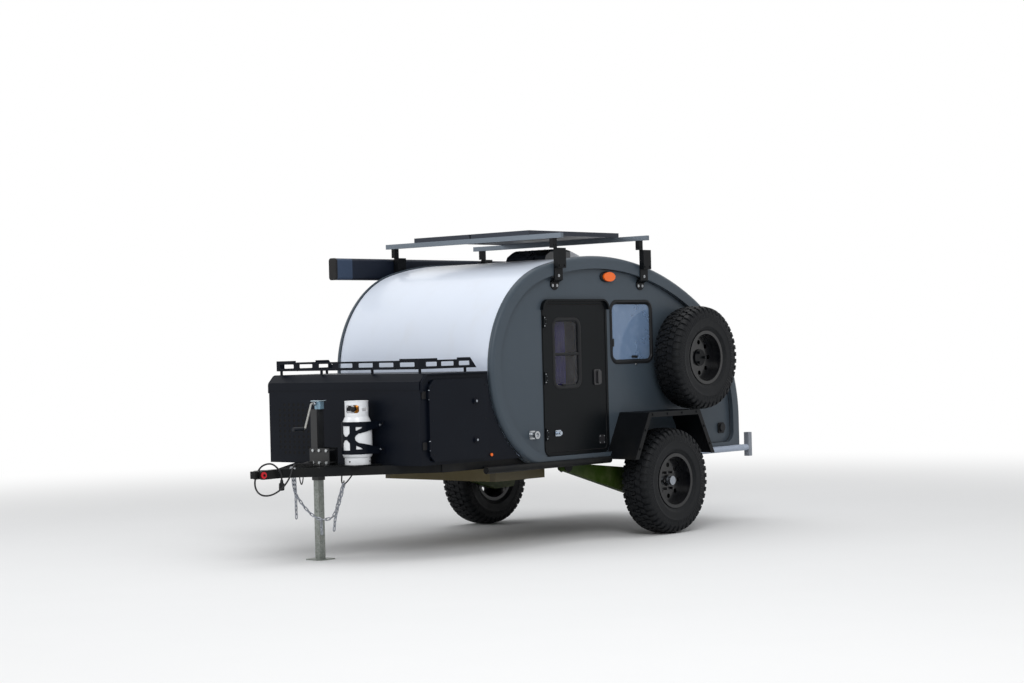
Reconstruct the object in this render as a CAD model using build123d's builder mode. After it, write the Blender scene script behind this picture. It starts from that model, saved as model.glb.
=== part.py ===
"""Off-road teardrop trailer, in millimetres.

+Z is up, the drawbar points to -Y and the side with the spare wheel is +X. The origin lies on the
ground, under the middle of the trailer's length and width.
"""
from build123d import *
from math import asin, cos, degrees, hypot, radians, sin, sqrt, tan
import os

os.makedirs("parts", exist_ok=True)


def save(builder, name):
    """Label a finished piece and write it as one STEP file."""
    builder.part.label = name
    export_step(builder.part, f"parts/{name}.step")


SIDES = (("left", 1), ("right", -1))

# Axle and coupler along the trailer
axle_y = 1010.0
tip_y = axle_y - 3300.0

# Cabin outline, three arcs that run into each other, seen from the side
cabin_bottom = 610.0
nose_r = 765.0
roof_r = 2400.0
tail_r = 1090.0
nose_z = 1285.0
nose_end = 105.0
nose_y = axle_y - 1000.0
tail_y = axle_y + 1175.0
tail_end_y = tail_y + 105.0

# Walls, rim and skins
wall_out = 762.0
wall_t = 38.0
wall_in = wall_out - wall_t
rim_proud = 38.0
rim_band = 95.0
rim_round = 30.0
sill_top = 640.0
sill_corner = 85.0
skin_inset = 10.0
skin_t = 30.0
skin_half = wall_out - 2.0
apron_t = 40.0
gap = 6.0
seat = 0.3
run_fit = 0.05

# Chassis
tube_h = 60.0
frame_top = 650.0
frame_low = frame_top - tube_h
frame_front = axle_y - 2459.0
frame_setback = 250.0
chassis_front = frame_front + frame_setback
frame_rear = tail_y - 45.0
floor_t = 40.0
floor_top = frame_top + floor_t

# Wheels and tyres
tyre_r = 400.0
tyre_w = 245.0
tyre_clear = 12.0
rim_w = 212.0
bead_r = 190.0
flange_r = 207.0
bead_half = 97.5
rim_t = 8.0
disc_depth = 75.0
hub_r = 34.0
hub_step, hub_cap = 16.0, 30.0
drum_r, drum_l = 70.0, 110.0
lug_r = 11.0
lug_l = 22.0
lug_pitch = 70.0
lug_count = 6
spindle_r = 19.0
wheel_x = wall_out + rim_proud + tyre_clear + tyre_w / 2

# Fenders, trapezoids that follow the tyres
fender_top = 2 * tyre_r + 129
fender_low = 586.0
fender_top_half, fender_low_half = tyre_r - 88, tyre_r + 89
fender_slant = (fender_low_half - fender_top_half) / (fender_top - fender_low)
fender_t = 6.0
fender_out = wheel_x + tyre_w / 2 - 9
flange_w = 38.0

# Doors and windows in the walls: front edge, rear edge, sill, head; the door's lower corner clears the fender
door_sill, door_head = 643.0, 1772.0
door_frame_w = 22.0
door_r = 60.0
door_front = axle_y - 1177.0
door_rear = axle_y - fender_low_half + fender_slant * (door_sill + door_r - fender_low) - 18.4
door_window = (axle_y - 1064.0, axle_y - 749.0, 1128.0, 1647.0)
side_window = (axle_y - 395.0, axle_y + 103.0, 1301.0, 1770.0)
window_r = 70.0
window_frame_w = 26.0
window_bar_z = 1381.0
window_bar_h = 22.0
pane_t = 6.0

# Hatch over the galley
hatch_y = axle_y + 380.0
hatch_low = 780.0
hatch_t = 30.0
hatch_handle_z = 850.0

# Box on the drawbar
box_half = wall_out + 9.0
box_front = frame_front
box_top = 1279.0
box_lip_top = 1224.0
box_lip_h = 56.0
box_t = 8.0
box_slope = 60.0
box_gap = 14.0
box_hinge_l = 60.0
box_hinge_gap = 8.0
box_door = (axle_y - 2389.0, axle_y - 1800.0, 668.0, 1236.0)


def arc_centres():
    """Centres of the nose, roof and tail arcs and the angle where roof runs into tail."""
    away = roof_r - nose_r
    turn = radians(nose_end)
    roof_c = (nose_y - away * cos(turn), nose_z - away * sin(turn))
    lean = asin((tail_y - tail_r - roof_c[0]) / (roof_r - tail_r))
    tail_c = (roof_c[0] + (roof_r - tail_r) * sin(lean), roof_c[1] + (roof_r - tail_r) * cos(lean))
    return (nose_y, nose_z), roof_c, tail_c, 90 - degrees(lean)


nose_c, roof_c, tail_c, roof_end = arc_centres()


def cabin_outline(inset, bottom=cabin_bottom, corner=0.0):
    """Side outline of the cabin as lines of the line being drawn, moved in all round."""
    r = nose_r - inset
    start = 180 + degrees(asin(min(1.0, (nose_z - bottom) / r)))
    CenterArc(nose_c, r, start, nose_end - start)
    CenterArc(roof_c, roof_r - inset, nose_end, roof_end - nose_end)
    CenterArc(tail_c, tail_r - inset, roof_end, -roof_end)
    low_y, low_z = nose_y + r * cos(radians(start)), nose_z + r * sin(radians(start))
    rear = tail_y - inset
    Line((rear, tail_c[1]), (rear, bottom + corner))
    if corner:
        CenterArc((rear - corner, bottom + corner), corner, 0, -90)
    Line((rear - corner, bottom), (low_y, bottom))
    if low_z > bottom + 0.01:
        Line((low_y, bottom), (low_y, low_z))


def window_place(box):
    """Middle and size of a window or door given by front, rear, sill and head."""
    front, rear, low, high = box
    return (front + rear) / 2, (low + high) / 2, rear - front, high - low


door_box = (door_front, door_rear, door_sill, door_head)
door_c_y, door_c_z, door_w, door_h = window_place(door_box)
leaf_w, leaf_h = door_w - 2 * (door_frame_w + gap), door_h - 2 * (door_frame_w + gap)
leaf_r = door_r - door_frame_w - gap
leaf_front = door_front + door_frame_w + gap
dw_c_y, dw_c_z, dw_w, dw_h = window_place(door_window)
sw_c_y, sw_c_z, sw_w, sw_h = window_place(side_window)

# Side walls with their rounded rim, one each side
for side, s in SIDES:
    with BuildPart() as side_wall:
        with BuildSketch(Plane.YZ.offset(s * wall_in)):
            with BuildLine():
                cabin_outline(0)
            make_face()
        extrude(amount=s * (wall_t + rim_proud))
        outer = side_wall.faces().sort_by(Axis.X)[-1 if s > 0 else 0]
        fillet(outer.edges().filter_by(Axis.Y, reverse=True), rim_round)
        with BuildSketch(Plane.YZ.offset(s * wall_out)):
            with BuildLine():
                cabin_outline(rim_band, sill_top, sill_corner)
            make_face()
        extrude(amount=s * (rim_proud + 1), mode=Mode.SUBTRACT)
        for depth, way in ((skin_inset + skin_t, Align.MAX), (skin_inset + apron_t, Align.MIN)):
            with BuildSketch(Plane.YZ.offset(s * wall_in)):
                with BuildLine():
                    cabin_outline(-5, frame_top)
                make_face()
                with BuildLine():
                    cabin_outline(depth, frame_top - 1)
                make_face(mode=Mode.SUBTRACT)
                with Locations((hatch_y, frame_top)):
                    Rectangle(4000, 4000, align=(way, Align.CENTER), mode=Mode.INTERSECT)
            extrude(amount=s * (skin_half - wall_in), mode=Mode.SUBTRACT)
        with BuildSketch(Plane.YZ.offset(s * wall_in)):
            with Locations((door_c_y, door_c_z)):
                RectangleRounded(door_w, door_h, door_r)
            with Locations((sw_c_y, sw_c_z)):
                RectangleRounded(sw_w, sw_h, window_r)
        extrude(amount=s * wall_t, mode=Mode.SUBTRACT)
    save(side_wall, f"side_wall_{side}")

# Roof vent hole, used by the roof skin and the vent
vent_y = axle_y - 280.0
vent_size = 440.0
vent_hole = 350.0

# White skin over nose and roof, from the floor up to the hatch
with BuildPart() as roof_skin:
    with BuildSketch(Plane.YZ):
        with BuildLine():
            cabin_outline(skin_inset, frame_top)
        make_face()
        with BuildLine():
            cabin_outline(skin_inset + skin_t, frame_top - 1)
        make_face(mode=Mode.SUBTRACT)
        with Locations((hatch_y, frame_top)):
            Rectangle(2 * nose_r + 2000, 2 * roof_r, align=(Align.MIN, Align.CENTER), mode=Mode.SUBTRACT)
    extrude(amount=skin_half, both=True)
    with BuildSketch(Plane.XY.offset(roof_c[1] + roof_r)):
        with Locations((0, vent_y)):
            RectangleRounded(vent_hole, vent_hole, 30)
    extrude(amount=-200, mode=Mode.SUBTRACT)
save(roof_skin, "roof_skin")

# Floor, with the apron under the hatch
with BuildPart() as cabin_floor:
    with BuildSketch(Plane.YZ):
        with BuildLine():
            cabin_outline(skin_inset + skin_t, frame_top)
        make_face()
        with Locations((tail_y - skin_inset - apron_t, frame_top)):
            Rectangle(4000, floor_t, align=(Align.MAX, Align.MIN), mode=Mode.INTERSECT)
    extrude(amount=wall_in, both=True)
    with BuildSketch(Plane.YZ):
        with Locations((tail_y - skin_inset, frame_top)):
            Rectangle(apron_t, hatch_low - gap - frame_top, align=(Align.MAX, Align.MIN))
    extrude(amount=skin_half, both=True)
save(cabin_floor, "cabin_floor")

# Bulkhead between cabin and galley, with counter, dividers and shelf
bulkhead_t = 20.0
bulkhead_y = hatch_y - 30.0
counter_z = 1110.0
counter_t = 30.0
counter_gap = 205.0
counter_depth = tail_y - skin_inset - hatch_t - counter_gap - bulkhead_y - bulkhead_t
divider_x = 240.0
shelf_z = 1440.0
shelf_depth = counter_depth - 340.0
with BuildPart() as galley:
    with BuildSketch(Plane.YZ):
        with BuildLine():
            cabin_outline(skin_inset + skin_t + seat, floor_top)
        make_face()
        with Locations((bulkhead_y, floor_top)):
            Rectangle(bulkhead_t, 3000, align=(Align.MIN, Align.MIN), mode=Mode.INTERSECT)
    extrude(amount=wall_in - 1, both=True)
    with BuildSketch(Plane.YZ):
        with Locations((bulkhead_y + bulkhead_t, counter_z)):
            Rectangle(counter_depth, counter_t, align=(Align.MIN, Align.MIN))
        with Locations((bulkhead_y + bulkhead_t, shelf_z)):
            Rectangle(shelf_depth, bulkhead_t, align=(Align.MIN, Align.MIN))
    extrude(amount=wall_in - 1, both=True)
    with BuildSketch(Plane.XY.offset(floor_top)):
        with Locations((-divider_x, bulkhead_y + bulkhead_t), (divider_x, bulkhead_y + bulkhead_t)):
            Rectangle(bulkhead_t, counter_depth - 60, align=(Align.CENTER, Align.MIN))
    extrude(amount=counter_z - floor_top)
save(galley, "galley")

# Mattress on the cabin floor
mattress_t = 120.0
with BuildPart() as mattress:
    with BuildSketch(Plane.XY.offset(floor_top + seat)):
        with Locations((0, bulkhead_y - 4)):
            Rectangle(2 * wall_in - 30, 1560, align=(Align.CENTER, Align.MAX))
    extrude(amount=mattress_t)
    fillet(mattress.edges().filter_by(Axis.Z), 40)
save(mattress, "mattress")

# Galley hatch, hinged at its top edge
with BuildPart() as galley_hatch:
    with BuildSketch(Plane.YZ):
        with BuildLine():
            cabin_outline(skin_inset, hatch_low)
        make_face()
        with BuildLine():
            cabin_outline(skin_inset + hatch_t, hatch_low - 1)
        make_face(mode=Mode.SUBTRACT)
        with Locations((hatch_y + gap, hatch_low)):
            Rectangle(4000, 2 * roof_r, align=(Align.MAX, Align.CENTER), mode=Mode.SUBTRACT)
    extrude(amount=skin_half - gap, both=True)
    with BuildSketch(Plane.XZ.offset(-(tail_y - skin_inset - 6))):
        with Locations((0, hatch_handle_z)):
            RectangleRounded(130, 60, 12)
    extrude(amount=-16)
    with BuildSketch(Plane.XZ.offset(-(tail_y - skin_inset + 10))):
        with Locations((0, hatch_handle_z)):
            RectangleRounded(96, 26, 10)
    extrude(amount=-12)
save(galley_hatch, "galley_hatch")

# Door frames, doors with their windows, handles and curtains
frame_proud = 8.0
hood_t = 12.0
hood_proud = 30.0
hood_drop = 66.0
door_hinge_x = wall_out + 14.0
door_hinge_zs = (800.0, 1210.0, 1620.0)
hinge_l = 90.0
barrel_r = 6.5
striker_y, striker_z = axle_y - 1030.0, 806.0
catch_y = axle_y - 1312.0
handle_y, handle_z = door_rear - 130.0, 1203.0
lock_y, lock_z = door_rear - 83.0, 738.0
paddle_w, paddle_h, paddle_t = 70.0, 115.0, 10.0
grip_w, grip_h, grip_t = 38.0, 98.0, 14.0
striker_w, striker_h, striker_t = 66.0, 44.0, 5.0
striker_pin_r, striker_pin_l = 9.0, 22.0
striker_knob_r, striker_knob_t = 14.0, 6.0
lock_w, lock_h, lock_t = 64.0, 66.0, 4.0
curtain_t = 8.0
curtain_over = 30.0
with BuildPart() as door_frames:
    for side, s in SIDES:
        with BuildSketch(Plane.YZ.offset(s * wall_in)):
            with Locations((door_c_y, door_c_z)):
                RectangleRounded(door_w, door_h, door_r)
                RectangleRounded(leaf_w + 2 * gap, leaf_h + 2 * gap, leaf_r + gap, mode=Mode.SUBTRACT)
        extrude(amount=s * (wall_t + frame_proud))
        with BuildSketch(Plane.YZ.offset(s * wall_out)):
            with Locations((door_c_y, door_c_z)):
                RectangleRounded(door_w + 2 * hood_t, door_h + 2 * hood_t, door_r + hood_t)
                RectangleRounded(door_w - 1, door_h - 1, door_r, mode=Mode.SUBTRACT)
            with Locations((door_c_y, door_head - hood_drop)):
                Rectangle(2 * door_w, 2 * door_h, align=(Align.CENTER, Align.MAX), mode=Mode.SUBTRACT)
        extrude(amount=s * hood_proud)
        for z in door_hinge_zs:
            with BuildSketch(Plane.XY.offset(z - hinge_l / 2)):
                with Locations((s * door_hinge_x, leaf_front)):
                    Circle(barrel_r)
                with Locations((s * (door_hinge_x - 2), leaf_front)):
                    Rectangle(8, door_frame_w, align=(Align.CENTER, Align.MAX))
            extrude(amount=hinge_l)
save(door_frames, "door_frames")

for side, s in SIDES:
    with BuildPart() as leaf:
        with BuildSketch(Plane.YZ.offset(s * wall_in)):
            with Locations((door_c_y, door_c_z)):
                RectangleRounded(leaf_w, leaf_h, leaf_r)
            with Locations((dw_c_y, dw_c_z)):
                RectangleRounded(dw_w, dw_h, window_r, mode=Mode.SUBTRACT)
        extrude(amount=s * (wall_t + 2))
    save(leaf, f"entry_door_{side}")

    with BuildPart() as door_pane:
        with BuildSketch(Plane.YZ.offset(s * (wall_in + 4))):
            with Locations((dw_c_y, dw_c_z)):
                RectangleRounded(dw_w, dw_h, window_r)
                RectangleRounded(dw_w - 2 * window_frame_w, dw_h - 2 * window_frame_w,
                                 window_r - window_frame_w, mode=Mode.SUBTRACT)
        extrude(amount=s * (wall_t + 6))
        with BuildSketch(Plane.YZ.offset(s * (wall_out - 14))):
            with Locations((dw_c_y, dw_c_z)):
                RectangleRounded(dw_w - window_frame_w, dw_h - window_frame_w, window_r - window_frame_w / 2)
        extrude(amount=s * pane_t)
        with BuildSketch(Plane.YZ.offset(s * (wall_out - 8))):
            with Locations((dw_c_y, window_bar_z)):
                Rectangle(dw_w - window_frame_w, window_bar_h)
        extrude(amount=s * 10)
    save(door_pane, f"door_window_{side}")

    with BuildPart() as handle:
        leaf_x = wall_out + 2
        for y, z, w, h, r, x, t in (
                (handle_y, handle_z, paddle_w, paddle_h, 14, leaf_x, paddle_t),
                (handle_y + 14, handle_z, grip_w, grip_h, 12, leaf_x + paddle_t, grip_t),
                (striker_y, striker_z, striker_w, striker_h, 10, leaf_x, striker_t),
                (lock_y, lock_z, lock_w, lock_h, 6, leaf_x, lock_t)):
            with BuildSketch(Plane.YZ.offset(s * x)):
                with Locations((y, z)):
                    RectangleRounded(w, h, r)
            extrude(amount=s * t)
        for x, r, t in ((leaf_x + striker_t, striker_pin_r, striker_pin_l),
                        (leaf_x + striker_t + striker_pin_l, striker_knob_r, striker_knob_t)):
            with BuildSketch(Plane.YZ.offset(s * x)):
                with Locations((striker_y, striker_z)):
                    Circle(r)
            extrude(amount=s * t)
    save(handle, f"door_handle_{side}")

    with BuildPart() as curtain:
        with BuildSketch(Plane.YZ.offset(s * (wall_in - seat))):
            with Locations((dw_c_y, dw_c_z)):
                RectangleRounded(dw_w + 2 * curtain_over, dw_h + 2 * curtain_over, 20)
        extrude(amount=-s * curtain_t)
    save(curtain, f"door_curtain_{side}")

# Catches on the walls that hold the open doors by their strikers: plate, stem and ring
catch_plate = (70.0, 60.0, 6.0)
catch_stem_r, catch_stem_l = 20.0, 34.0
catch_ring_r, catch_ring_t = 28.0, 14.0
with BuildPart() as door_catches:
    for side, s in SIDES:
        with BuildSketch(Plane.YZ.offset(s * wall_out)):
            with Locations((catch_y, striker_z)):
                RectangleRounded(catch_plate[0], catch_plate[1], 14)
        extrude(amount=s * catch_plate[2])
        with BuildSketch(Plane.YZ.offset(s * (wall_out + catch_plate[2]))):
            with Locations((catch_y, striker_z)):
                Circle(catch_stem_r)
        extrude(amount=s * catch_stem_l)
        with BuildSketch(Plane.YZ.offset(s * (wall_out + catch_plate[2] + catch_stem_l))):
            with Locations((catch_y, striker_z)):
                Circle(catch_ring_r)
                Circle(striker_knob_r + 1, mode=Mode.SUBTRACT)
        extrude(amount=s * catch_ring_t)
save(door_catches, "door_catches")

# Side windows, frame and pane, one each side
with BuildPart() as side_windows:
    for side, s in SIDES:
        with BuildSketch(Plane.YZ.offset(s * wall_in)):
            with Locations((sw_c_y, sw_c_z)):
                RectangleRounded(sw_w, sw_h, window_r)
                RectangleRounded(sw_w - 2 * window_frame_w, sw_h - 2 * window_frame_w,
                                 window_r - window_frame_w, mode=Mode.SUBTRACT)
        extrude(amount=s * (wall_t + 8))
        with BuildSketch(Plane.YZ.offset(s * (wall_out - 12))):
            with Locations((sw_c_y, sw_c_z)):
                RectangleRounded(sw_w - window_frame_w, sw_h - window_frame_w, window_r - window_frame_w / 2)
        extrude(amount=s * pane_t)
save(side_windows, "side_windows")

# Chassis: two rails under the walls, crossmembers between them and the brackets of the trailing arms
rail_w = 60.0
rail_in = wall_in - rail_w
arm_t = 60.0
arm_pivot_y = axle_y - 880.0
arm_pivot_z = 548.0
bracket_t = 8.0
cross_w = 60.0
cross_ys = (chassis_front, axle_y - 1800.0, axle_y - 1560.0, arm_pivot_y - 20, axle_y + 350.0, frame_rear - cross_w)
with BuildPart() as chassis:
    with BuildSketch(Plane.XY.offset(frame_low)):
        for s in (1, -1):
            with Locations((s * (rail_in + rail_w / 2), chassis_front)):
                Rectangle(rail_w, frame_rear - chassis_front, align=(Align.CENTER, Align.MIN))
        for y in cross_ys:
            with Locations((0, y)):
                Rectangle(2 * rail_in + 1, cross_w, align=(Align.CENTER, Align.MIN))
    extrude(amount=tube_h)
    for side, s in SIDES:
        for x in (rail_in - bracket_t - 1, rail_in + arm_t + 1):
            with BuildSketch(Plane.YZ.offset(s * x)):
                with BuildLine():
                    Polyline((arm_pivot_y - 60, frame_low + 8), (arm_pivot_y + 60, frame_low + 8),
                             (arm_pivot_y + 34, arm_pivot_z - 20), (arm_pivot_y, arm_pivot_z - 40),
                             (arm_pivot_y - 34, arm_pivot_z - 20), close=True)
                make_face()
            extrude(amount=s * bracket_t)
        with BuildSketch(Plane.XY.offset(frame_low)):
            with Locations((s * (rail_in + rail_w / 2), arm_pivot_y)):
                Rectangle(rail_w + 2 * bracket_t + 2, 120)
        extrude(amount=8)
save(chassis, "chassis_frame")

# Drawbar: two legs that meet at the tongue tube, with the plate that carries the jack
leg_w = 60.0
leg_x = 450.0
tongue_w = 64.0
tongue_front = axle_y - 3165.0
leg_meet_y = axle_y - 3040.0
tongue_rear = axle_y - 2790.0
jack_y = axle_y - 2700.0
jack_out = 64.0
jack_in = 53.0
clamp_x = 56.0
clamp_half = 98.0
plate_t = 10.0
gas_x = 270.0
gas_r = 104.0
plate_front, plate_rear = axle_y - 2800.0, axle_y - 2600.0
leg_nose, leg_crotch = leg_meet_y - 20, leg_meet_y + 60
leg_nose_half = 30.0


def leg_edges(y):
    """Inner and outer edge of the left leg at a place along the trailer."""
    inner = leg_x * (y - leg_crotch) / (frame_front - leg_crotch)
    outer = leg_nose_half + (leg_x + leg_w - leg_nose_half) * (y - leg_nose) / (frame_front - leg_nose)
    return inner, outer


leg_end_in, leg_end_out = leg_edges(chassis_front)
with BuildPart() as drawbar:
    with BuildSketch(Plane.XY.offset(frame_low)):
        for s in (1, -1):
            with BuildLine():
                Polyline((s * leg_end_out, chassis_front), (s * leg_end_in, chassis_front), (0, leg_crotch),
                         (0, leg_nose), (s * leg_nose_half, leg_nose), close=True)
            make_face()
        with Locations((0, tongue_front)):
            Rectangle(tongue_w, tongue_rear - tongue_front, align=(Align.CENTER, Align.MIN))
    extrude(amount=tube_h)
    with BuildSketch(Plane.XY.offset(frame_top)):
        with BuildLine():
            Polyline((-170, plate_front), (170, plate_front), (330, plate_rear), (-330, plate_rear), close=True)
        make_face()
        with Locations((0, jack_y)):
            Rectangle(jack_out + 2 * seat, jack_out + 2 * seat, mode=Mode.SUBTRACT)
        with Locations((gas_x, box_front)):
            Rectangle(2 * gas_r + 20, 2 * gas_r + 40, align=(Align.CENTER, Align.MAX))
    extrude(amount=plate_t)
    with BuildSketch(Plane.XZ.offset(-(jack_y + jack_out / 2 + seat))):
        with Locations((clamp_x, frame_top + plate_t)):
            Rectangle(2 * clamp_half, 120, align=(Align.CENTER, Align.MIN))
    extrude(amount=-12)
save(drawbar, "drawbar")

# Coupler: a yoke on the tongue, a pin head turning on its cross bolt
coupler_z = frame_low + tube_h / 2
bushing_y = tip_y + 58.0
bolt_r = 8.0
yoke_half = 45.0
head_half = 24.0
head_h2 = 28.0
head_low = 22.0
sleeve_r = 20.0
pin_bore_r = 8.2
pin_bore_y = tip_y + 24.0
with BuildPart() as coupler:
    with BuildSketch(Plane.YZ.offset(-yoke_half)):
        with BuildLine():
            Line((tongue_front, coupler_z - 30), (bushing_y, coupler_z - 30))
            RadiusArc((bushing_y, coupler_z - 30), (bushing_y, coupler_z + 30), 30)
            Polyline((bushing_y, coupler_z + 30), (tongue_front, coupler_z + 30),
                     (tongue_front, coupler_z - 30))
        make_face()
    extrude(amount=2 * yoke_half)
    with BuildSketch(Plane.XY.offset(coupler_z - 31)):
        with Locations((0, tip_y - 1)):
            Rectangle(2 * head_half + 4, 104, align=(Align.CENTER, Align.MIN))
    extrude(amount=62, mode=Mode.SUBTRACT)
    with BuildSketch(Plane.YZ.offset(-yoke_half - 14)):
        with Locations((bushing_y, coupler_z)):
            Circle(bolt_r)
    extrude(amount=2 * yoke_half + 28)
save(coupler, "coupler")

with BuildPart() as coupler_head:
    with BuildSketch(Plane.YZ.offset(-head_half)):
        with BuildLine():
            Polyline((bushing_y, coupler_z - head_h2), (tip_y + 45, coupler_z - head_low),
                     (tip_y, coupler_z - head_low), (tip_y, coupler_z + head_h2),
                     (bushing_y, coupler_z + head_h2))
            RadiusArc((bushing_y, coupler_z + head_h2), (bushing_y, coupler_z - head_h2), head_h2)
        make_face()
        with Locations((bushing_y, coupler_z)):
            Circle(sleeve_r + seat, mode=Mode.SUBTRACT)
    extrude(amount=2 * head_half)
    with BuildSketch(Plane.XY.offset(coupler_z - 31)):
        with Locations((0, pin_bore_y)):
            Circle(pin_bore_r)
    extrude(amount=62, mode=Mode.SUBTRACT)
save(coupler_head, "coupler_head")

# Red bushing around the cross bolt, with a flange on each side of the yoke
with BuildPart() as bushing:
    with BuildSketch(Plane.YZ.offset(-head_half)):
        with Locations((bushing_y, coupler_z)):
            Circle(sleeve_r)
            Circle(bolt_r + seat, mode=Mode.SUBTRACT)
    extrude(amount=2 * head_half)
    for s in (1, -1):
        with BuildSketch(Plane.YZ.offset(s * yoke_half)):
            with Locations((bushing_y, coupler_z)):
                Circle(23)
                Circle(bolt_r + seat, mode=Mode.SUBTRACT)
        extrude(amount=s * 8)
save(bushing, "coupler_bushing")

# Drop-leg jack: outer tube with gear head, sliding leg with foot, crank
jack_low = 553.0
jack_top = 1046.0
head_h = 60.0
head_x = 27.0
head_size = 54.0
clamp_z = 719.0
clamp_h = 116.0
clamp_bolt_dz = 42.0
clamp_t = 8.0
clamp_bolt_xs = (clamp_x + 5.0, clamp_x + 77.0)
clamp_screw_x = -2.0
foot_t = 8.0
foot_size = 150.0
leg_size = 50.0
leg_top = 760.0
crank_z = jack_top + 39.0
crank_x = head_x - 14.0
crank_y = jack_y - head_size / 2
with BuildPart() as jack_tube:
    with BuildSketch(Plane.XY.offset(jack_low)):
        with Locations((0, jack_y)):
            Rectangle(jack_out, jack_out)
            Rectangle(jack_in, jack_in, mode=Mode.SUBTRACT)
    extrude(amount=jack_top - jack_low)
    with BuildSketch(Plane.XY.offset(jack_top)):
        with Locations((head_x, jack_y)):
            RectangleRounded(head_size, head_size, 12)
    extrude(amount=head_h)
    with BuildSketch(Plane.XZ.offset(-(jack_y - jack_out / 2))):
        with Locations((clamp_x, clamp_z)):
            RectangleRounded(2 * clamp_half, clamp_h, 10)
    extrude(amount=clamp_t)
    with BuildSketch(Plane.XZ.offset(-(jack_y - jack_out / 2))):
        for z in (clamp_z - clamp_bolt_dz, clamp_z + clamp_bolt_dz):
            with Locations(*((x, z) for x in clamp_bolt_xs)):
                Circle(6)
    extrude(amount=-jack_out)
    with BuildSketch(Plane.XZ.offset(-(jack_y - jack_out / 2 - clamp_t))):
        for z in (clamp_z - clamp_bolt_dz, clamp_z + clamp_bolt_dz):
            with Locations(*((x, z) for x in (clamp_screw_x, *clamp_bolt_xs))):
                RegularPolygon(11, 6)
    extrude(amount=9)
save(jack_tube, "jack_tube")

with BuildPart() as jack_leg:
    with BuildSketch(Plane.XY):
        with Locations((0, jack_y)):
            RectangleRounded(foot_size, foot_size, 12)
    extrude(amount=foot_t)
    with BuildSketch(Plane.XY.offset(foot_t)):
        with Locations((0, jack_y)):
            Rectangle(leg_size, leg_size)
    extrude(amount=leg_top - foot_t)
save(jack_leg, "jack_leg")

crank_r = 8.0
crank_out = 36.0
crank_drop = 170.0
crank_lean = 62.0
crank_grip = 108.0
with BuildPart() as crank:
    with BuildLine() as crank_path:
        FilletPolyline((crank_x, crank_y, crank_z), (crank_x, crank_y - crank_out, crank_z),
                       (crank_x, crank_y - crank_out - crank_lean, crank_z - crank_drop),
                       (crank_x, crank_y - crank_out - crank_lean - crank_grip, crank_z - crank_drop), radius=14)
    with BuildSketch(Plane(origin=(crank_x, crank_y, crank_z), z_dir=(0, -1, 0))):
        Circle(crank_r)
    sweep()
    with BuildSketch(Plane.XZ.offset(-(crank_y - crank_out - crank_lean - 20))):
        with Locations((crank_x, crank_z - crank_drop)):
            Circle(14)
    extrude(amount=crank_grip - 16)
save(crank, "jack_crank")

# Trailing arms with spindles, hung from brackets under the rails
arm_in = wall_in - arm_t
arm_pivot_r = 32.0
spring_y = axle_y - 60.0
spring_r = 55.0
arm_top_z = tyre_r + 100.0
spindle_end = wheel_x + rim_w / 2 - disc_depth - rim_t
with BuildPart() as arms:
    for side, s in SIDES:
        with BuildSketch(Plane.YZ.offset(s * arm_in)):
            with BuildLine():
                Polyline((arm_pivot_y, arm_pivot_z + arm_pivot_r), (spring_y - spring_r - 20, arm_top_z),
                         (axle_y + 70, arm_top_z), (axle_y + 90, tyre_r), (axle_y + 50, tyre_r - 90),
                         (axle_y - 160, tyre_r - 96), (arm_pivot_y, arm_pivot_z - arm_pivot_r))
                RadiusArc((arm_pivot_y, arm_pivot_z - arm_pivot_r), (arm_pivot_y, arm_pivot_z + arm_pivot_r),
                          arm_pivot_r)
            make_face()
        extrude(amount=s * arm_t)
        with BuildSketch(Plane.YZ.offset(s * (arm_in + arm_t))):
            with Locations((axle_y, tyre_r)):
                Circle(60)
        extrude(amount=s * 40)
        with BuildSketch(Plane.YZ.offset(s * (arm_in + arm_t + 40))):
            with Locations((axle_y, tyre_r)):
                Circle(spindle_r)
        extrude(amount=s * (spindle_end - arm_in - arm_t - 42))
save(arms, "trailing_arms")

# Air springs between arms and rails
with BuildPart() as air_springs:
    for side, s in SIDES:
        with BuildSketch(Plane.XY.offset(arm_top_z)):
            with Locations((s * (arm_in + arm_t / 2), spring_y)):
                Circle(spring_r)
        extrude(amount=frame_low - arm_top_z)
save(air_springs, "air_springs")

# Shock absorbers beside the arms, from arm to rail
damper_r = 26.0
damper_x = arm_in - 34.0
damper_low = (axle_y + 40.0, 390.0)
damper_high = (axle_y + 190.0, 600.0)
with BuildPart() as dampers:
    for side, s in SIDES:
        run = hypot(damper_high[0] - damper_low[0], damper_high[1] - damper_low[1])
        tilt = Vector(0, damper_high[0] - damper_low[0], damper_high[1] - damper_low[1])
        with BuildSketch(Plane(origin=(s * damper_x, *damper_low), x_dir=(1, 0, 0), z_dir=tilt)):
            Circle(damper_r)
        extrude(amount=run - 10)
        with BuildSketch(Plane.YZ.offset(s * damper_x)):
            with Locations(damper_low):
                Circle(15)
        extrude(amount=s * 34)
        with BuildSketch(Plane.YZ.offset(s * damper_x)):
            with Locations((damper_high[0], damper_high[1] + 10)):
                Circle(13)
        extrude(amount=s * 34)
save(dampers, "dampers")


def tyre_profile(x, sense):
    """Half section of a tyre from bead to tread, for a wheel in the middle plane x."""
    half = tyre_w / 2
    outer = ((bead_half, bead_r + seat), (bead_half, flange_r + 1), (half - 14, flange_r + 25),
             (half, tyre_r - 110), (half - 6, tyre_r - 70), (half - 16, tyre_r - 24), (half - 34, tyre_r))
    points = outer + tuple((-p, r) for p, r in reversed(outer))
    return [(x + sense * p, r) for p, r in points]


def wheel_profile(x, sense):
    """Section of the steel rim barrel with its flanges, as offsets and radii."""
    half = rim_w / 2
    points = ((half, flange_r), (half - 8, flange_r), (half - 8, bead_r), (-(half - 8), bead_r),
              (-(half - 8), flange_r), (-half, flange_r), (-half, bead_r - rim_t), (half, bead_r - rim_t))
    return [(x + sense * p, r) for p, r in points]


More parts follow.
